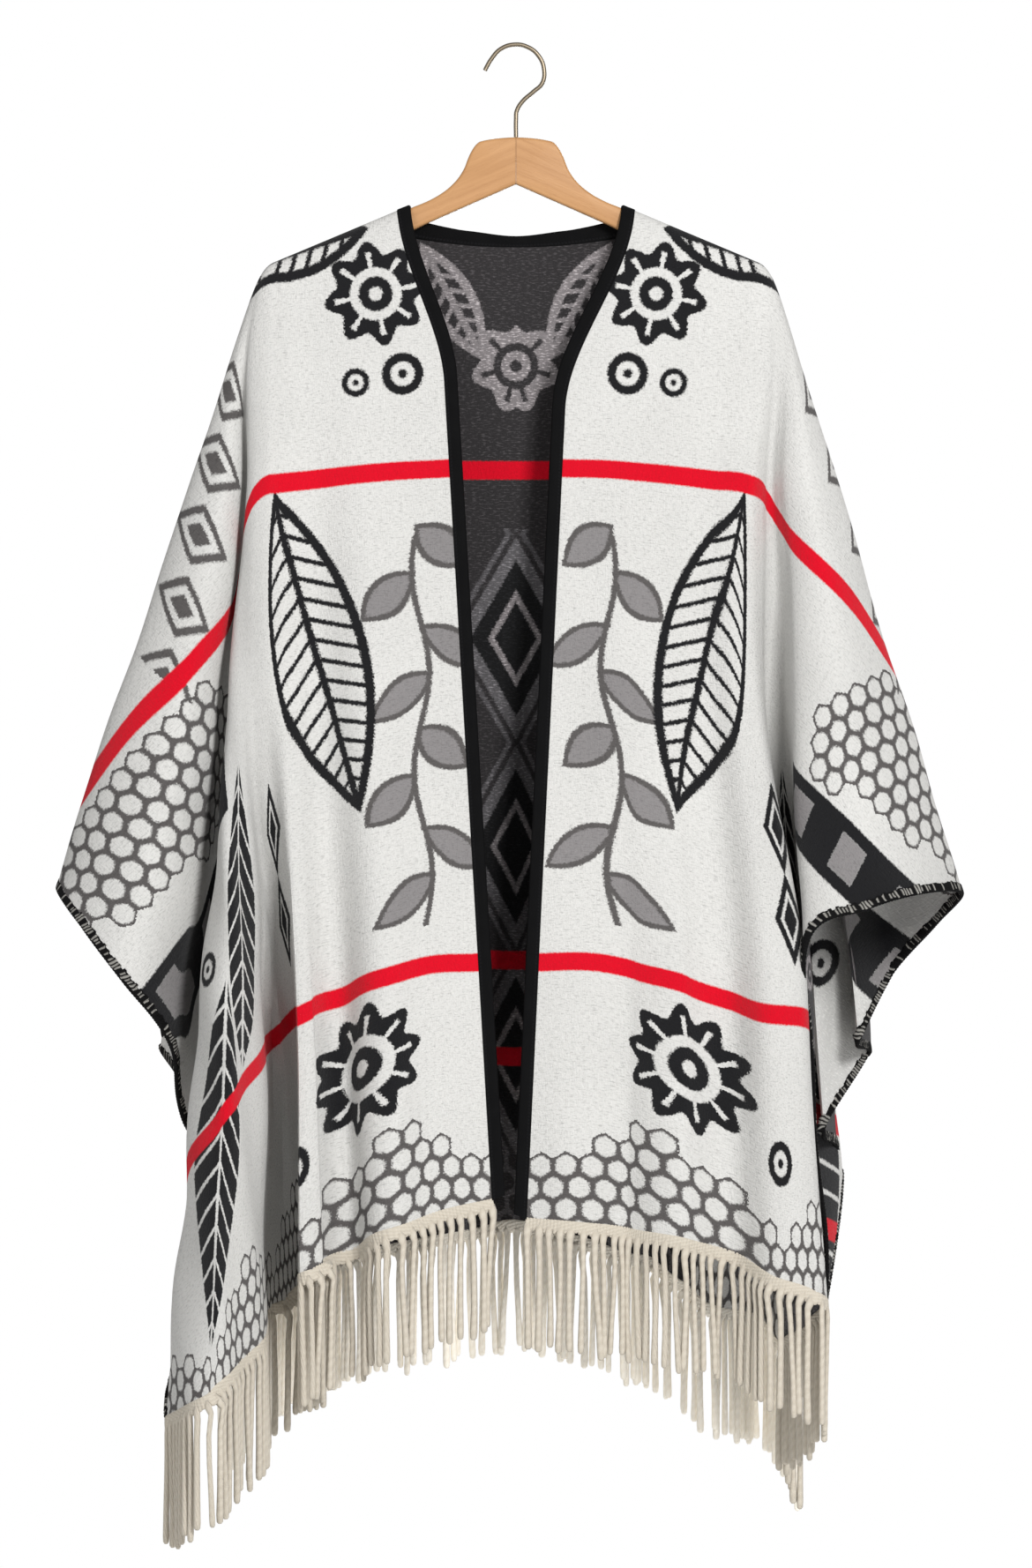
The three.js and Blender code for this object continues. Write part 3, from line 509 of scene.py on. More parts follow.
def cloth_normal(lines, s, r):
    """Out of the face of the cloth."""
    reach = 0.02
    across = (cloth_at(lines, s + reach, r) - cloth_at(lines, s - reach, r))[..., :3]
    down = (cloth_at(lines, s, r + 1.0) - cloth_at(lines, s, r - 1.0))[..., :3]
    return unit(np.cross(across, down)) * lines[0]["hand"]


def cloth_length(lines, s):
    """Smooth along the hem and along the side edge, sharp at a corner."""
    j = int(min(max(math.floor(s), 0), len(lines) - 2))
    near, after = lines[j]["length"], lines[j + 1]["length"]

    def runs_on(k):
        return 0 < k < len(lines) - 1 and lines[k]["name"] != "corner"
    before = lines[j - 1]["length"] if runs_on(j) else 2 * near - after
    beyond = lines[j + 2]["length"] if runs_on(j + 1) else 2 * after - near
    return float(flow(before, near, after, beyond, s - j, 1.01, 1.01, 1.01))


LINES = {LEFT: fold_lines(LEFT, LEFT_FOLDS), RIGHT: fold_lines(RIGHT, RIGHT_FOLDS)}


def row_of(lines, name, last=False):
    found = [k for k, line in enumerate(lines) if line["name"] == name]
    return found[-1 if last else 0]


def drawn_in(lines, s, r, depth):
    """Dents, swells and soft upright folds, in mm along the normal, none at the shoulder."""
    _, fore, _, u, v = np.moveaxis(cloth_at(lines, s, r), -1, 0)
    broad = sum(high * np.exp(-((u - at) / half) ** 2) for at, high, half in SOFT_FOLDS)
    broad = broad * ease(-fore, 0, 12) * ease(v, 90, 430)
    swell = np.sin(u / 41 + v / 170 + 0.6) * np.sin(v / 97 - u / 230)
    dents = 0.35 * np.sin(u / 23 - v / 140) * np.sin(v / 61 + 1.1)
    folds = 0.75 * np.sin(u / 15.5 + 1.4 * np.sin(v / 190)) * ease(v, 150, 620)
    return (depth * (swell + dents + folds) + broad) * ease(np.asarray(r, float), 60, 260)


# The design in the cloth: on the reverse the tones are dark, and the stripes stay red
UPPER_STRIPE, LOWER_STRIPE, HEM_STRIPE = 187.0, 634.0, 722.0
STRIPE_HALF = 8.3
NET_PITCH, NET_SQUASH, NET_LINE = 21.8, 0.97, 2.4
NET_HEM, NET_RISE, NET_WAVE = 768.0, 52.0, 220.0
STEM_TOP, STEM_FOOT, STEM_TURN = 232.0, 598.0, 91.0
SPRIG_LENGTH, SPRIG_WIDTH, SPRIG_TILT = 66.0, 32.0, 34.0
# Leaves: centre, degrees, length, width, pitch of the veins, half width of the lines
FRONT_LEAF = ((186.0, 338.0), 105.0, 300.0, 92.0, 19.0, 3.3)
SHOULDER_LEAF = ((196.0, -10.0), 18.0, 130.0, 46.0, 15.0, 3.4)
NECK_LEAF = ((58.0, 34.0), 118.0, 120.0, 42.0, 15.0, 3.2)
DARK_LEAVES = [((606.0, 668.0), 60.0, 340.0, 116.0, 27.0, 3.0),
               ((452.0, 505.0), 64.0, 280.0, 118.0, 25.0, 3.0)]
# Rosettes: centre, radius, petals
ROSETTES = [((127.0, 28.0), 47.0, 8), ((152.0, 706.0), 55.0, 10)]
NECK_ROSETTE = ((0.0, 92.0), 42.0, 6)
# Rings: centre, radius
RINGS = [((103.0, 100.0), 15.0), ((146.0, 106.0), 10.0), ((236.0, 758.0), 15.0),
         ((690.0, 432.0), 22.0), ((620.0, 462.0), 16.0), ((560.0, 505.0), 12.0)]


def turned(a, v, centre, degrees):
    c, s = math.cos(math.radians(degrees)), math.sin(math.radians(degrees))
    da, dv = a - centre[0], v - centre[1]
    return da * c + dv * s, dv * c - da * s


def leaf(a, v, centre, degrees, length, width, pitch, line_half):
    """A pointed leaf. Returns its body, and its rim, midrib and slanting veins."""
    p, q = turned(a, v, centre, degrees)
    q = abs(q)
    edge = q - width / 2 * (1 - (p * (2 / length)) ** 2.0)
    body = filled(edge)
    veins = line((p - q * 0.7 + 500.0) % pitch - pitch / 2, line_half * 0.75)
    return body, ((veins | line(q, line_half)) & body) | line(edge + line_half, line_half * 1.3)


def ring(a, v, centre, radius):
    away = ((a - centre[0]) ** 2.0 + (v - centre[1]) ** 2.0).root()
    return line(away - radius, radius * 0.27) | filled(away - radius * 0.28)


def rosette(a, v, centre, radius, petals):
    """A scalloped ring with a slit in every petal, round a solid middle."""
    da, dv = a - centre[0], v - centre[1]
    away = (da ** 2.0 + dv ** 2.0).root()
    wave = (dv.bearing(da) * float(petals)).sine()
    slits = filled((0.86 - wave) * (radius * 0.25)) & filled(away - radius * 0.8)
    scallops = filled(away - radius * (0.88 + 0.12 * wave))
    band = scallops & (1.0 - filled(away - radius * 0.5)) & (1.0 - slits)
    return band | (filled(away - radius * 0.33) & (1.0 - filled(away - radius * 0.13)))


def net(a, v):
    """Hexagon lines, and the middle of the cell that each point is in."""
    tall = NET_PITCH * math.sqrt(3)
    v = v * NET_SQUASH
    cells = []
    for shift in (0.0, 0.5):
        x = (a + NET_PITCH * (0.5 - shift)) % NET_PITCH - NET_PITCH / 2
        y = (v + tall * (0.5 - shift)) % tall - tall / 2
        flat = abs(x).most(abs(x) * 0.5 + abs(y) * (math.sqrt(3) / 2))
        cells.append((x, y, flat * 0.5 + (x ** 2.0 + y ** 2.0).root() * 0.5))
    first = cells[0][2].below(cells[1][2])
    x = cells[1][0] + (cells[0][0] - cells[1][0]) * first
    y = cells[1][1] + (cells[0][1] - cells[1][1]) * first
    near = cells[0][2].least(cells[1][2])
    return filled(NET_PITCH / 2 - NET_LINE - near), a - x, (v - y) / NET_SQUASH


def stem(a, v, at):
    """A climbing stem with a leaf to each side at every turn. Returns its leaves and its lines."""
    turn = v - STEM_TOP
    zone = turn.above(0.0) & v.below(STEM_FOOT)
    middle = at + (turn / 29.0).sine() * 8.0
    leaves = []
    for way, start in ((-1.0, 24.0), (1.0, 66.0)):
        p, q = turned((a - middle) * way, turn % STEM_TURN - start, (25.0, 0.0), SPRIG_TILT)
        leaves.append(abs(q) - SPRIG_WIDTH / 2 * (1 - (p / (SPRIG_LENGTH / 2)) ** 2.0))
    sprig = leaves[0].least(leaves[1])
    return filled(sprig) & zone, (line(sprig + 1.0, 2.8) | line(a - middle, 3.0) & turn.above(14.0)) & zone


def woven(finish, back):
    """Masks of the design: black, grey line, grey area, deep and red, and a field where tones swap."""
    u, v = finish.in_cloth()
    place = finish.place()
    a = abs(u) + (finish.noise(place, 620.0, 2.0) - 0.5) * 5.5
    straight_v = v + (finish.noise(place, 700.0, 1.0) - 0.5) * 1.6
    v = straight_v + (finish.noise(place, 450.0, 1.0) - 0.5) * 2.6

    net_lines, cell_a, cell_v = net(a, v)
    rise = abs((cell_a - 15.0) % NET_WAVE - NET_WAVE / 2) / (NET_WAVE / 2)
    above_hem = cell_v.above(NET_HEM + rise * NET_RISE)
    on_flap = (cell_v.above(209.0) & cell_v.below(345.0 - (cell_a - 480.0) * 0.2)
               & cell_a.above(478.0 + abs(cell_v - 285.0) * 0.7))
    grey_area, stem_lines = stem(a, v, 106.0 if back else 88.0)
    grey_line = net_lines & (above_hem | on_flap) | stem_lines

    # A string of diamonds along the shoulder's outer edge
    diamond = (abs(a % 58.0 - 29.0) / 21.0 + abs(v - (a - 219.0) * 0.54) / 27.0 - 1.0) * 15.0
    on_side = a.above(290.0) & a.below(552.0)
    grey_line = grey_line | ((line(diamond, 2.6) | filled(diamond + 8.0)) & on_side)

    # Leaves, rosettes, rings and a chain of lozenges in black
    black = leaf(a, v, *FRONT_LEAF)[1] | leaf(a, v, *SHOULDER_LEAF)[1]
    for shape in DARK_LEAVES:
        body, veins = leaf(a, v, *shape)
        black = black | (body & (1.0 - veins))
    for shape in ROSETTES:
        black = black | rosette(a, v, *shape)
    for shape in RINGS:
        black = black | ring(a, v, *shape)
    lozenge = (abs(a - 268.0) / 30.0 + abs((v - 436.0) % 78.0 - 39.0) / 40.0 - 1.0) * 20.0
    black = black | (filled(lozenge) & (1.0 - line(lozenge + 9.0, 1.9)) & v.above(436.0) & v.below(592.0))

    # A strip of blocks along the flap
    off_strip = abs(v - 376.0)
    strip = a.above(455.0) & filled(off_strip - 29.0)
    blocks = filled(abs(a % 78.0 - 39.0) - 17.0) & filled(off_strip - 17.0)
    black = black | (strip & (1.0 - blocks))
    grey_area = grey_area | (blocks & strip)

    stripes = line(straight_v - UPPER_STRIPE, STRIPE_HALF) | line(straight_v - LOWER_STRIPE, STRIPE_HALF)
    masks = {"black": black, "grey_line": grey_line, "grey_area": grey_area, "red": stripes}
    if back:
        masks = down_the_back(masks, a, v)
        masks["red"] = stripes | line(straight_v - HEM_STRIPE, STRIPE_HALF)
    return masks, place


def down_the_back(masks, a, v):
    """Nested diamonds down the middle in place of what the fronts have there, and a neck spray."""
    nest = (abs(a) / 58.0 + abs((v - 245.0) % 190.0 - 95.0) / 92.0 - 1.0) * 40.0
    chain = filled(nest - 9.0) & v.above(240.0) & v.below(812.0)
    masks = {tone: mask & (1.0 - chain) for tone, mask in masks.items()}
    masks["grey_area"] = masks["grey_area"] | (filled(nest) & chain)
    masks["deep"] = filled(nest + 9.0) & chain
    masks["black"] = (masks["black"] | (line(nest + 23.0, 2.2) & chain) | rosette(a, v, *NECK_ROSETTE)
                      | leaf(a, v, *NECK_LEAF)[1])
    masks["grey_line"] = masks["grey_line"] | (line(nest - 6.0, 1.8) & chain)
    masks["swap"] = a.above(330.0) & v.above(262.0)
    return masks


FACE = {"ground": shade(204, 203, 200), "grey_area": shade(130, 127, 127), "grey_line": shade(86, 83, 82),
        "deep": shade(212, 211, 208), "black": shade(24, 24, 26), "red": shade(203, 1, 30)}
REVERSE = {"ground": shade(45, 43, 44), "grey_area": shade(88, 86, 88), "grey_line": shade(80, 78, 80),
           "deep": shade(22, 22, 23), "black": shade(122, 117, 118), "red": shade(203, 1, 30)}


def blanket(name, tones, weave, beyond=None):
    """Cloth in its tones, with weave as the strength of its marks. The back swaps to the tones beyond."""
    finish = Finish(name)
    masks, place = woven(finish, bool(beyond))

    def dyed(palette):
        colour = palette["ground"]
        for tone in ("grey_area", "deep", "grey_line", "black", "red"):
            if tone in masks:
                colour = finish.blend(masks[tone], colour, palette[tone])
        return colour
    # Nap: short lying fibres, between which the crossing threads show as short fine marks
    threads = finish.threads()
    weft = finish.noise(threads, 760.0, 2.0, 0.5, (0.28, 1.0, 1.0))
    warp = finish.noise(threads, 760.0, 2.0, 0.5, (1.0, 0.28, 1.0))
    nap = finish.noise(place, 900.0, 3.0, 0.6)
    marks = ((weft - 0.52) * 8.0).most(0.0) * (1.0 - masks["red"])
    drift = finish.noise(place, 9.0, 2.0)
    colour = dyed(tones)
    if beyond:
        colour = finish.blend(masks["swap"], colour, dyed(beyond))
        marks = marks * (1.0 - masks["swap"] * 0.85)
    tone = 0.95 + (nap - 0.5) * 0.24 + (warp - 0.5) * 0.22 + marks * weave + (drift - 0.5) * 0.12
    grey = finish.node("ShaderNodeCombineColor", sockets={"Red": tone, "Green": tone, "Blue": tone})
    return finish.set(base_color=finish.blend(1.0, colour, grey.outputs[0], way="MULTIPLY"), roughness=0.96,
                      normal=finish.bump(nap * 0.8 + weft + warp, 0.0009, 0.9), sheen_weight=0.07,
                      sheen_roughness=0.6, specular_ior_level=0.1)


FACE_MARKS, REVERSE_MARKS = -0.15, 1.1
front_face = blanket("front cloth face", FACE, FACE_MARKS)
front_reverse = blanket("front cloth reverse", REVERSE, REVERSE_MARKS)
back_face = blanket("back cloth face", FACE, FACE_MARKS, beyond=REVERSE)
back_reverse = blanket("back cloth reverse", REVERSE, REVERSE_MARKS, beyond=FACE)

FOLD_STEPS = 8
DOWN_STEPS, DOWN_POWER = 120, 1.35
SWELL = 2.6


def as_piece(name, points, faces, uv, materials, marks=None):
    """A mesh from points in mm. uv is one pair for each point, marks one material number a face."""
    mesh = bpy.data.meshes.new(name)
    mesh.from_pydata((np.asarray(points) / 1000).tolist(), [], [list(map(int, f)) for f in faces])
    layer = mesh.uv_layers.new(name="cloth")
    corner = np.empty(len(mesh.loops), dtype=np.int32)
    mesh.loops.foreach_get("vertex_index", corner)
    layer.data.foreach_set("uv", (np.asarray(uv)[corner] / 1000).astype(np.float32).ravel())
    for material in materials:
        mesh.materials.append(material)
    if marks is not None:
        mesh.polygons.foreach_set("material_index", np.asarray(marks, dtype=np.int32))
    mesh.polygons.foreach_set("use_smooth", [True] * len(mesh.polygons))
    made = bpy.data.objects.new(name, mesh)
    bpy.context.collection.objects.link(made)
    return made


def tidied(made, angle=45.0):
    """Points that meet are joined, and edges sharper than the angle stay crisp."""
    shape = bmesh.new()
    shape.from_mesh(made.data)
    bmesh.ops.remove_doubles(shape, verts=shape.verts, dist=2e-6)
    bmesh.ops.dissolve_degenerate(shape, dist=1e-7, edges=shape.edges)
    for edge in shape.edges:
        if len(edge.link_faces) == 2:
            edge.smooth = edge.calc_face_angle(0.0) < math.radians(angle)
    shape.to_mesh(made.data)
    shape.free()
    return made


def wall(name, lines, columns, materials):
    """A cloth wall over columns (s, first r, last r, tip facing or None)."""
    share = np.linspace(0, 1, DOWN_STEPS + 1) ** DOWN_POWER
    s = np.array([c[0] for c in columns])[:, None] + 0 * share[None, :]
    r = np.array([lerp(c[1], c[2], share) for c in columns])
    middle = cloth_at(lines, s, r)
    normal = cloth_normal(lines, s, r)
    middle[..., :3] += normal * drawn_in(lines, s, r, SWELL)[..., None]
    for i, (_, _, _, tip) in enumerate(columns):
        if tip:
            side, facing = tip
            middle[i, 0, :3] = (side * APEX_X, 0, APEX_Z)
            normal[i, 0] = unit(np.array([0.6 * facing, 0, 0.8 * facing * side]))
    across, down = s.shape
    count = across * down
    outer = middle[..., :3] + normal * WALL / 2
    inner = middle[..., :3] - normal * WALL / 2
    number = np.arange(count).reshape(across, down)
    quads = np.stack([number[:-1, :-1], number[1:, :-1], number[1:, 1:], number[:-1, 1:]], axis=-1)
    quads = quads.reshape(-1, 4)
    rim = np.concatenate([number[:-1, 0], number[-1, :-1], number[:0:-1, -1], number[0, :0:-1]])
    after = np.roll(rim, -1)
    rims = np.stack([after, rim, rim + count, after + count], axis=-1)
    points = np.concatenate([outer.reshape(-1, 3), inner.reshape(-1, 3)])
    uv = np.concatenate([middle[..., 3:].reshape(-1, 2)] * 2)
    faces = np.concatenate([quads, quads[:, ::-1] + count, rims])
    first = points[quads[len(quads) // 2]]
    turn = np.dot(np.cross(first[1] - first[0], first[2] - first[0]),
                  normal.reshape(-1, 3)[quads[len(quads) // 2][0]])
    if turn < 0:
        faces = faces[:, ::-1]
    marks = [0] * len(quads) + [1] * len(quads) + [0] * len(rims)
    return tidied(as_piece(name, points, faces, uv, materials, marks))

fronts = {}
for side, word in ((LEFT, "left"), (RIGHT, "right")):
    lines = LINES[side]
    seam, roll = row_of(lines, "seam"), row_of(lines, "front roll")
    columns = []
    for i in range(seam * FOLD_STEPS + 1):
        s = i / FOLD_STEPS
        columns.append((s, SEAM / 2, cloth_length(lines, s), (side, -1) if s >= roll else None))
    fronts[side] = wall(f"front_cloth_{word}", lines, columns, [front_face, front_reverse])
    carried(fronts[side], "cloth", f"front_{word}")

# The back runs from seam to seam; the neck is cut out of it
MIDDLE_LINE = {"name": "middle", "along": 0, "length": BACK_MIDDLE[7],
               "at": panel_line(RIGHT, BACK_MIDDLE, lambda r: np.zeros((*np.shape(r), 5)),
                                lambda depth: 0 * depth, 0.0)}
BACK_LINES = [*LINES[LEFT][row_of(LINES[LEFT], "seam") - 1:], MIDDLE_LINE,
              *LINES[RIGHT][row_of(LINES[RIGHT], "seam") - 1:][::-1]]
MIDDLE_AT = row_of(BACK_LINES, "middle")
NECKS = (row_of(BACK_LINES, "neck"), row_of(BACK_LINES, "neck", last=True))
BACK_ROLLS = (row_of(BACK_LINES, "back roll"), row_of(BACK_LINES, "back roll", last=True))
NECK_HALF = BACK_LINES[NECKS[0]]["along"] * APEX_X
SCOOP_EDGE, SCOOP_SAG = 22.0, 11.0
NECK_TURN_STEPS, NECK_TURN_X = 10, 1.6
NECK_CLOTH = SCOOP_EDGE + BINDING_WIDTH + SEAM


def back_line_at(x):
    step = -1 if x < 0 else 1
    k = MIDDLE_AT
    while BACK_LINES[k + step]["along"] * APEX_X < abs(x):
        k += step
    near, far = (BACK_LINES[i]["along"] * APEX_X for i in (k, k + step))
    return k + step * (abs(x) - near) / (far - near)


def neck_level(x, half, top):
    """Distance down the back to the neckline, which sags between its two ends."""
    ends = np.array([back_line_at(half), back_line_at(x)])
    wanted = cloth_at(BACK_LINES, ends, top)[0, 2] - SCOOP_SAG * (1 - (x / half) ** 2)
    down = top
    for _ in range(4):
        down += cloth_at(BACK_LINES, ends[1:], down)[0, 2] - wanted
    return float(down)


def neck_start(x, part, top):
    """Distance down to the neckline, of which part has turned down behind the arm."""
    return lerp(SEAM / 2, top, part) if part < 1 else neck_level(x, NECK_HALF - NECK_TURN_X, top)


neck_places = [(-(NECK_HALF - NECK_TURN_X * i / NECK_TURN_STEPS), i / NECK_TURN_STEPS)
               for i in range(NECK_TURN_STEPS + 1)]
inner_steps = (NECKS[1] - NECKS[0]) * FOLD_STEPS
for i in range(1, inner_steps):
    s = NECKS[0] + i / FOLD_STEPS
    low = min(int(s), len(BACK_LINES) - 2)
    along = lerp(BACK_LINES[low]["along"], BACK_LINES[low + 1]["along"], s - low)
    neck_places.append((math.copysign(along * APEX_X, s - MIDDLE_AT), 1))
neck_places += [(-x, part) for x, part in neck_places[NECK_TURN_STEPS::-1]]

columns = []
for i in range((len(BACK_LINES) - 3) * FOLD_STEPS + 1):
    s = 1 + i / FOLD_STEPS
    tip = (LEFT, 1) if s <= BACK_ROLLS[0] else (RIGHT, 1) if s >= BACK_ROLLS[1] else None
    if s < NECKS[0] or s > NECKS[1]:
        columns.append((s, SEAM / 2, cloth_length(BACK_LINES, s), tip))
neck_columns = []
for x, part in neck_places:
    s = back_line_at(x)
    neck_columns.append((s, neck_start(x, part, NECK_CLOTH), cloth_length(BACK_LINES, s), None))
split = next(i for i, c in enumerate(columns) if c[0] > NECKS[1])
columns = columns[:split] + neck_columns + columns[split:]
back_cloth = wall("back_cloth", BACK_LINES, columns, [back_face, back_reverse])
carried(back_cloth, "cloth", "back")

# Ribbon binding
# One black grosgrain ribbon, folded in half over the raw edge and sewn through: up one front, round
# the back of the neck and down the other front.
RIBBON_FACE, RIBBON_BACK = 1.9, 1.55
EDGE_STEPS = 150
# Ribbon's outline: share of the width from the cloth's edge to the fold, and height off the middle
RIBBON_OUTLINE = [(-0.11, 1.3), (-0.1, RIBBON_FACE), (0.03, RIBBON_FACE + 0.25), (0.5, RIBBON_FACE),
                  (0.9, RIBBON_FACE), (1.0, 1.2), (1.04, 0.0), (1.0, -1.1), (0.9, -RIBBON_BACK),
                  (0.5, -RIBBON_BACK), (0.03, -RIBBON_BACK - 0.1), (-0.1, -RIBBON_BACK), (-0.11, -1.3)]


def front_ribbon(side):
    """Cloth edge points, fold points and normals, from the shoulder to the hem."""
    lines, rows = LINES[side], {LEFT: LEFT_FOLDS, RIGHT: RIGHT_FOLDS}[side]
    r = lerp(SEAM / 2, rows[0][7], np.linspace(0, 1, EDGE_STEPS + 1) ** 1.3)
    zero = np.zeros_like(r)
    swell = drawn_in(lines, zero, r, SWELL)[:, None]
    normal = cloth_normal(lines, zero, r)
    fold = panel_line(side, rows[0], lambda q: np.zeros((*np.shape(q), 5)),
                      lambda depth: front_edge(side, depth), float(front_edge(side, 0)))(r)[:, :3]
    return cloth_at(lines, zero, r)[:, :3] + normal * swell, fold + normal * swell, normal


def neck_ribbon():
    edge, fold, normal = [], [], []
    for x, part in neck_places:
        for store, inset in ((edge, 0.0), (fold, BINDING_WIDTH + SEAM)):
            s = back_line_at(x * (NECK_HALF - inset) / NECK_HALF)
            r = neck_start(x, part, NECK_CLOTH - inset)
            store.append(cloth_at(BACK_LINES, np.array([s]), np.array([r]))[0, :3])
        normal.append(cloth_normal(BACK_LINES, np.array([back_line_at(x)]), np.array([r]))[0])
    return np.array(edge), np.array(fold), np.array(normal)


def facing_out(made):
    shape = bmesh.new()
    shape.from_mesh(made.data)
    bmesh.ops.recalc_face_normals(shape, faces=shape.faces)
    shape.to_mesh(made.data)
    shape.free()
    return made


def swept(name, rails, across, travelled, material):
    """A closed skin over rails that run side by side round a cross section, capped at both ends."""
    points = np.stack(rails, axis=1)
    steps, around = points.shape[:2]
    uv = np.stack([np.broadcast_to(np.asarray(across), (steps, around)),
                   np.broadcast_to(travelled[:, None], (steps, around))], axis=-1)
    number = np.arange(steps * around).reshape(steps, around)
    onward = np.roll(number, -1, axis=1)
    sides = np.stack([number[:-1], onward[:-1], onward[1:], number[1:]], axis=-1).reshape(-1, 4)
    faces = [*sides.tolist(), number[0, ::-1].tolist(), number[-1].tolist()]
    return facing_out(as_piece(name, points.reshape(-1, 3), faces, uv.reshape(-1, 2), [material]))


def along_path(points):
    return np.concatenate([[0], np.cumsum(np.linalg.norm(np.diff(points, axis=0), axis=1))])


ribbon = Finish("black grosgrain ribbon")
across, along = ribbon.in_cloth()
ribs = (along * (2 * math.pi / 0.9)).sine() * 0.5 + 0.5
stitch = line(across - 1.2, 0.35) & (abs(along % 3.2 - 1.6)).below(1.15)
sheen = ribbon.noise(ribbon.place(), 60.0, 2.0)
ribbed = ribbon.blend(ribs, shade(5, 5, 6), shade(10, 10, 11))
ribbon_black = ribbon.set(
    base_color=ribbon.blend(stitch, ribbed, shade(22, 22, 24)), roughness=0.7 + sheen * 0.2,
    normal=ribbon.bump(ribs * 0.5 - stitch * 2.0 + sheen, 0.0003), specular_ior_level=0.1)

edge, fold, normal = (np.concatenate([up[::-1], round_neck, down]) for up, round_neck, down in zip(
    front_ribbon(LEFT), neck_ribbon(), front_ribbon(RIGHT)))
rails = [edge + (fold - edge) * share + normal * height for share, height in RIBBON_OUTLINE]
shares = [share * BINDING_WIDTH for share, _ in RIBBON_OUTLINE]
binding = tidied(swept("ribbon_binding", rails, shares, along_path(edge), ribbon_black), 60.0)
carried(binding, "ribbon", "binding_left", "binding_right", "binding_neck")

# Overlocked side edges
# Black overlock thread over the cut side edges, from the hem's corner up to the shoulder line and
# down the other side, 7 mm deep on both faces, with some pale threads of the cloth pulled through.
STITCH_DEPTH, STITCH_PITCH, STITCH_STEPS = 7.0, 3.3, 5
# Into the cloth from its cut edge, and height off its middle
OVERLOCK_OUTLINE = [(STITCH_DEPTH, 1.25), (STITCH_DEPTH - 0.4, 1.7), (3.2, 1.85), (0.4, 1.8), (-0.9, 1.0),
                    (-1.2, 0.0), (-0.9, -1.0), (0.4, -1.8), (3.2, -1.85), (STITCH_DEPTH - 0.4, -1.7),
                    (STITCH_DEPTH, -1.25)]

overlock = Finish("overlock thread")
across, along = overlock.in_cloth()
slant = along + across * 0.3 + (overlock.noise(overlock.place(), 120.0, 2.0) - 0.5) * 3.5
offset = slant % STITCH_PITCH - STITCH_PITCH / 2
by_stitch = overlock.node("ShaderNodeTexWhiteNoise", {"noise_dimensions": "1D"}, {"W": slant - offset})
chance = overlock.thread(by_stitch.outputs["Value"])
thread = 1.0 - abs(offset) / (STITCH_PITCH / 2)
strand = abs(slant % (STITCH_PITCH / 3) - STITCH_PITCH / 6) / (STITCH_PITCH / 6)
pulled = (line(offset, 0.18 + chance * 0.35) & chance.above(0.35) & across.above(2.6 - chance * 3.0)
          & across.below(4.4 + chance * 3.2))
black_thread = overlock.blend(strand, shade(5, 5, 5), shade(22, 21, 22))
overlock_black = overlock.set(
    base_color=overlock.blend(pulled, black_thread, shade(200, 197, 190)), roughness=0.8,
    normal=overlock.bump(strand - thread * 2.0, 0.0005), specular_ior_level=0.12)


def cut_edge(lines, first, last, spacing=None, places=None):
    """Distance along the cut edge, the edge, the normal and the way into the cloth."""
    s = np.linspace(first, last, 900)
    length = np.array([cloth_length(lines, q) for q in s])
    travelled = along_path(cloth_at(lines, s, length)[:, :3])
    if places is None:
        want = np.linspace(0, travelled[-1], max(2, round(travelled[-1] / spacing)) + 1)
    else:
        want = places(travelled[-1])
    s = np.interp(want, travelled, s)
    length = np.array([cloth_length(lines, q) for q in s])
    normal = cloth_normal(lines, s, length)
    edge = cloth_at(lines, s, length)[:, :3]
    up = cloth_at(lines, s, length - 5)[:, :3] - edge
    edge = edge + normal * drawn_in(lines, s, length, SWELL)[:, None]
    inward = unit(np.cross(normal, unit(np.gradient(edge, axis=0))))
    return want, edge, normal, inward * np.sign(np.median((inward * up).sum(axis=1)))


def overlocked(name, lines, first, last):
    want, edge, normal, inward = cut_edge(lines, first, last, STITCH_PITCH / STITCH_STEPS)
    lump = 0.42 * np.abs(np.sin(np.pi * want / STITCH_PITCH))[:, None]
    reach = np.random.RandomState(5).uniform(-1.3, 1.3, int(want[-1] / STITCH_PITCH) + 2)
    reach = reach[(want / STITCH_PITCH).astype(int)][:, None]
    rails = []
    for deep, high in OVERLOCK_OUTLINE:
        lift = math.copysign(1, high) if abs(high) > 0.5 else 0
        into = deep - lump * (deep < 0.5) + reach * (deep > 5)
        rails.append(edge + inward * into + normal * (high + lift * lump))
    return swept(name, rails, [deep for deep, _ in OVERLOCK_OUTLINE], want, overlock_black)


back_corners = (row_of(BACK_LINES, "corner"), row_of(BACK_LINES, "corner", last=True))
overlocks = {}
for place, *run in (("front_left", LINES[LEFT], *(row_of(LINES[LEFT], end) for end in ("corner", "seam"))),
                    ("front_right", LINES[RIGHT], *(row_of(LINES[RIGHT], end) for end in ("corner", "seam"))),
                    ("back_left", BACK_LINES, 1, back_corners[0]),
                    ("back_right", BACK_LINES, back_corners[1], len(BACK_LINES) - 2)):
    overlocks[place] = overlocked(f"overlock_{place}", *run)
    carried(overlocks[place], "cloth")

# Fringe
# Cream wool warp ends run out of the hem as a ribbed band, and are twisted together below it into
# loose ends 120 mm long. They hang in pairs that lean together, and each swells at its cut tip.
STRAND_PITCH, STRAND_LENGTH, STRAND_SIDES = 9.8, 119.0, 6
# Share of the length, half width along the hem, half depth
STRAND_SHAPE = [(0.03, 3.2, 1.6), (0.08, 4.0, 2.3), (0.14, 3.1, 2.5), (0.3, 2.6, 2.6), (0.5, 2.75, 2.7),
                (0.75, 2.85, 2.8), (0.94, 3.3, 3.0), (0.985, 2.9, 2.7), (1.0, 1.5, 1.4)]
BAND_RIB, BAND_STEPS = 3.2, 6
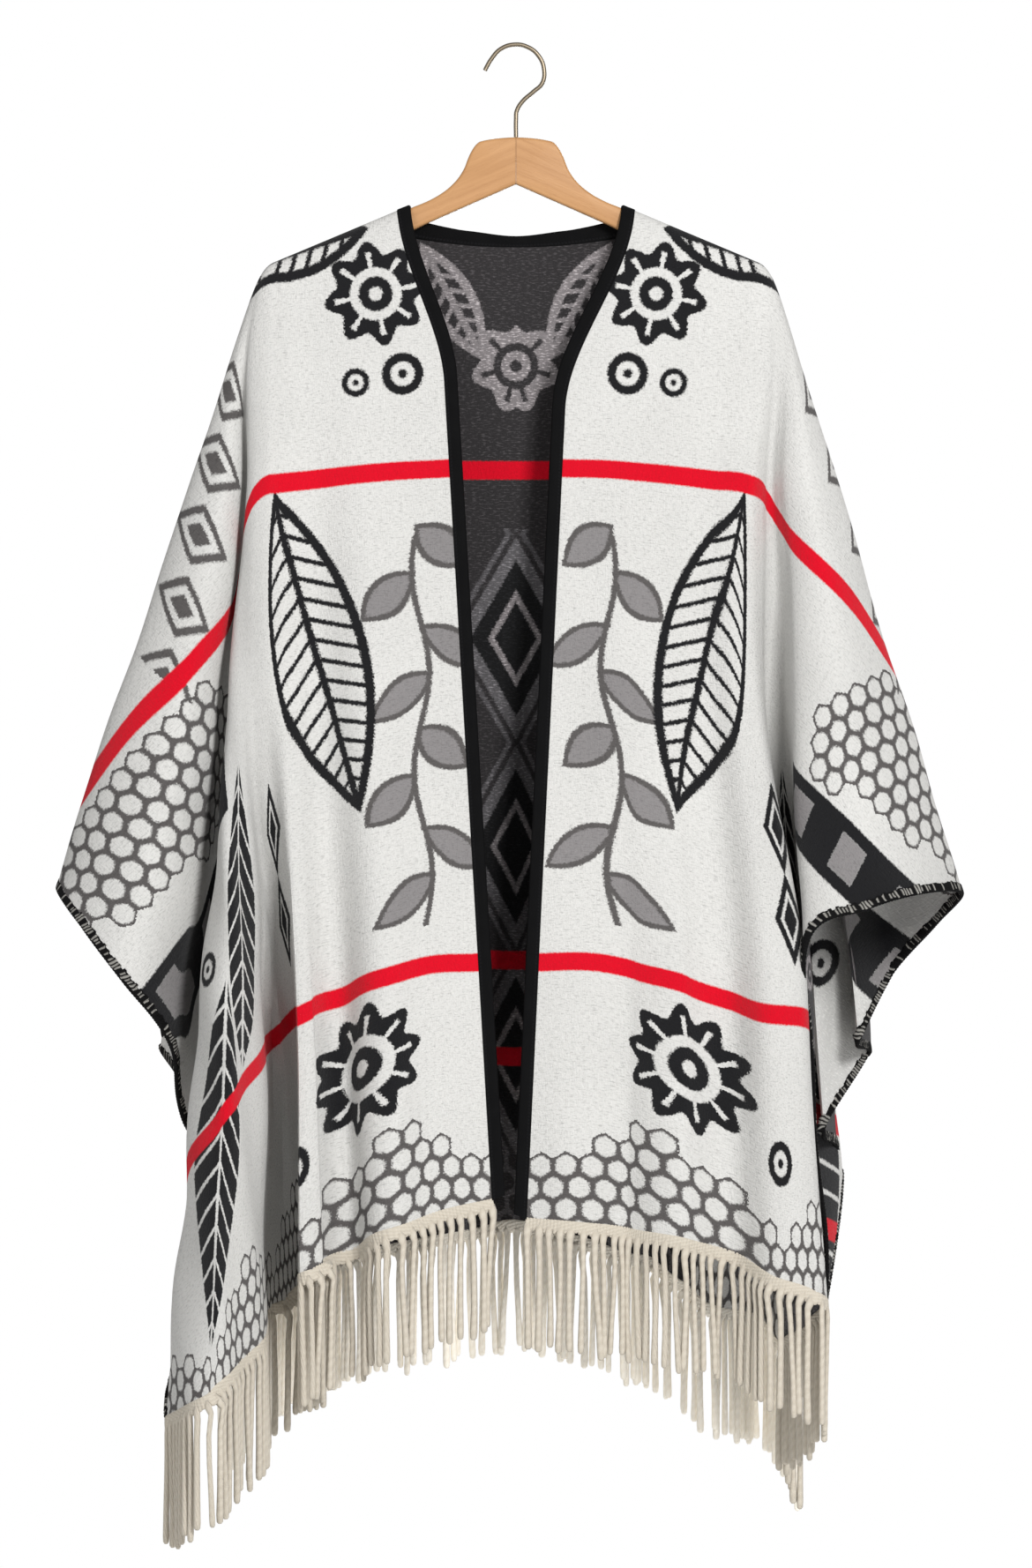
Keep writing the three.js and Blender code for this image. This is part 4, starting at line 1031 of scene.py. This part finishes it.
# Below the cut edge of the cloth, and height off its middle
BAND_OUTLINE = [(-1.6, 1.25), (-1.2, 1.6), (1.0, 1.75), (6.0, 1.6), (9.6, 1.2), (10.4, 0.0), (9.6, -1.2),
                (6.0, -1.6), (1.0, -1.75), (-1.2, -1.6), (-1.6, -1.25)]


def twisted_yarn(name, lit, shadowed):
    yarn = Finish(name)
    around_yarn, along_yarn = yarn.in_cloth()
    twist = ((around_yarn * 2.0 + along_yarn * (2 * math.pi / 9.0)).sine() + 1.0) * 0.5
    fuzz = yarn.noise(yarn.place(), 900.0, 2.0)
    # Painted shade: the twist's grooves darken the yarn from its lit tone towards its shadowed tone, and the
    # fuzz shifts the tone at random
    return yarn.set(base_color=yarn.blend(twist * 0.25 + fuzz * 0.35, lit, shadowed), roughness=0.95,
                    normal=yarn.bump(twist * 0.4 + fuzz * 0.6, 0.0007), sheen_weight=0.15,
                    specular_ior_level=0.1)


front_yarn = twisted_yarn("cream wool yarn", shade(197, 190, 177), shade(170, 159, 142))
# Painted light: the back fringe hangs in the front cloth's shadow, so its yarn gets paler lit and shadowed
# tones than the front's to brighten it
back_yarn_painted_lighter = twisted_yarn("cream wool yarn at the back painted lighter", shade(248, 243, 232), shade(234, 223, 204))


def hem_band(name, lines, first, last, seed, yarn):
    want, edge, normal, inward = cut_edge(lines, first, last, BAND_RIB / BAND_STEPS)
    chance = np.random.RandomState(seed)
    rib = np.abs(np.sin(np.pi * want / BAND_RIB))[:, None]
    number = (want / BAND_RIB).astype(int)
    drop = chance.uniform(-1.1, 1.1, number.max() + 1)[number][:, None]
    rails = [edge - inward * (down + (rib + drop - 1) * (down > 8)) + normal * high * (0.74 + 0.3 * rib)
             for down, high in BAND_OUTLINE]
    return swept(name, rails, [down for down, _ in BAND_OUTLINE], want, yarn)


def hem_strands(name, lines, first, last, seed, yarn):
    chance = np.random.RandomState(seed)

    def places(run):
        count = int((run - 6) / STRAND_PITCH)
        return 3 + np.linspace(0, run - 6, count + 1) + chance.uniform(-1, 1, count + 1)
    _, root, normal, inside = cut_edge(lines, first, last, places=places)
    level = unit(np.cross(inside, normal))
    ends = []
    member = 0
    while member < len(root):
        group = range(member, min(member + int(chance.choice([2, 2, 2, 3, 1])), len(root)))
        member = group.stop
        middle = root[group.start:group.stop].mean(axis=0)
        for k in group:
            gather = (middle - root[k]) * chance.uniform(0.2, 0.5)
            sway = np.array([gather[0] + chance.uniform(-2, 2), gather[1] + chance.uniform(-2, 2), 0])
            ends.append({"k": k, "sway": sway, "bow": chance.uniform(-2, 2),
                         "thick": chance.uniform(0.92, 1.1),
                         "full": STRAND_LENGTH * chance.uniform(0.95, 1.03)})
    k = np.array([end["k"] for end in ends])
    full, thick, bow = (np.array([end[key] for end in ends])[:, None] for key in ("full", "thick", "bow"))
    sway = np.array([end["sway"] for end in ends])
    angle = 2 * math.pi * np.arange(STRAND_SIDES) / STRAND_SIDES
    hang = np.array([0, 0, -1.0])
    rings, uv = [], []
    for share, half, deep in STRAND_SHAPE:
        free = float(ease(np.array(share), 0.08, 0.3))
        way = unit(lerp(-inside[k], hang, free))
        centre = (root[k] - inside[k] * np.minimum(share, 0.1) * full + way * max(share - 0.1, 0) * full
                  + sway * min(1, share / 0.8) ** 1.4 + level[k] * bow * math.sin(math.pi * share) * free)
        wide = unit(level[k] - way * (level[k] * way).sum(axis=1)[:, None])
        out = np.cross(wide, way)
        rings.append(centre[:, None] + (wide[:, None] * (np.cos(angle)[:, None] * half)
                                        + out[:, None] * (np.sin(angle)[:, None] * deep)) * thick[:, None])
        uv.append(np.stack(np.broadcast_arrays(angle, share * full), axis=-1))
    points, uv = np.stack(rings, axis=1), np.stack(uv, axis=1)
    number = np.arange(points[..., 0].size).reshape(points.shape[:3])
    onward = np.roll(number, -1, axis=2)
    sides = np.stack([number[:, :-1], onward[:, :-1], onward[:, 1:], number[:, 1:]], axis=-1).reshape(-1, 4)
    faces = sides.tolist() + number[:, 0, ::-1].tolist() + number[:, -1].tolist()
    return facing_out(as_piece(name, points.reshape(-1, 3), faces, uv.reshape(-1, 2), [yarn]))


for node, *hem in (("fringe_front_left", LINES[LEFT], 0, row_of(LINES[LEFT], "corner"), 11, front_yarn),
                   ("fringe_front_right", LINES[RIGHT], 0, row_of(LINES[RIGHT], "corner"), 12, front_yarn),
                   ("fringe_back", BACK_LINES, *back_corners, 13, back_yarn_painted_lighter)):
    band, strands = hem_band(f"band_of_{node}", *hem), hem_strands(f"strands_of_{node}", *hem)
    carried(band, "yarn")
    carried(strands, "yarn", node)

# Studio
# A white room with a pale floor far below the hung piece, one broad soft light right of the camera,
# a weaker one to its left and one behind.
ROOM_LIGHT = 0.45
FLOOR_SIZE, FLOOR_PLACE = 4.0, (0, 0.4, -1.9)
MM_PER_PIXEL, PICTURE_PIXELS, HOOK_PIXEL = 0.8, 1778, 53
FRAME_HEIGHT = PICTURE_PIXELS * MM_PER_PIXEL / 1000
CAMERA_DISTANCE = 7.0
CAMERA_HEIGHT = (HOOK_PIXEL - PICTURE_PIXELS / 2) * MM_PER_PIXEL / 1000
CAPE_MIDDLE = (0, 0, -0.7)

bpy.ops.mesh.primitive_plane_add(size=FLOOR_SIZE, location=FLOOR_PLACE)
floor = bpy.context.object
floor.name = "pale_floor"
bpy.ops.object.transform_apply(location=True, rotation=True, scale=True)
painted = Finish("pale floor")
speckle = painted.noise(painted.place(), 30.0)
pale = painted.blend(speckle, shade(244, 244, 243), shade(238, 238, 237))
floor.data.materials.append(painted.set(base_color=pale, roughness=0.9))

world = bpy.data.worlds.new("white room")
bpy.context.scene.world = world
world.use_nodes = True
around = world.node_tree.nodes["Background"]
around.inputs["Color"].default_value = (1, 1, 1, 1)
seen = world.node_tree.nodes.new("ShaderNodeLightPath")
strength = world.node_tree.nodes.new("ShaderNodeMapRange")
strength.inputs["To Min"].default_value = ROOM_LIGHT
strength.inputs["To Max"].default_value = 1.0
world.node_tree.links.new(seen.outputs["Is Camera Ray"], strength.inputs["Value"])
world.node_tree.links.new(strength.outputs["Result"], around.inputs["Strength"])


def soft_light(name, place, size, watts):
    data = bpy.data.lights.new(name, "AREA")
    data.shape, data.size, data.energy = "SQUARE", size, watts
    lamp = bpy.data.objects.new(name, data)
    bpy.context.collection.objects.link(lamp)
    lamp.location = place
    aim = unit(np.array(CAPE_MIDDLE) - np.array(place))
    lamp.rotation_euler = (math.acos(-aim[2]), 0, math.atan2(aim[1], aim[0]) - math.pi / 2)


soft_light("key", (1.5, -3.8, 0.8), size=1.0, watts=174)
soft_light("fill", (-2.4, -3.2, 0.2), size=1.4, watts=30)
soft_light("behind", (0.8, 3.6, 0.3), size=2.0, watts=110)

lens = bpy.data.cameras.new("camera")
lens.sensor_width = 36
lens.lens = 36 * CAMERA_DISTANCE / FRAME_HEIGHT
lens.clip_end = 50
camera = bpy.data.objects.new("camera", lens)
bpy.context.collection.objects.link(camera)
camera.location = (0, -CAMERA_DISTANCE, CAMERA_HEIGHT)
camera.rotation_euler = (math.pi / 2, 0, 0)
bpy.context.scene.camera = camera
bpy.context.scene.view_settings.view_transform = "Standard"
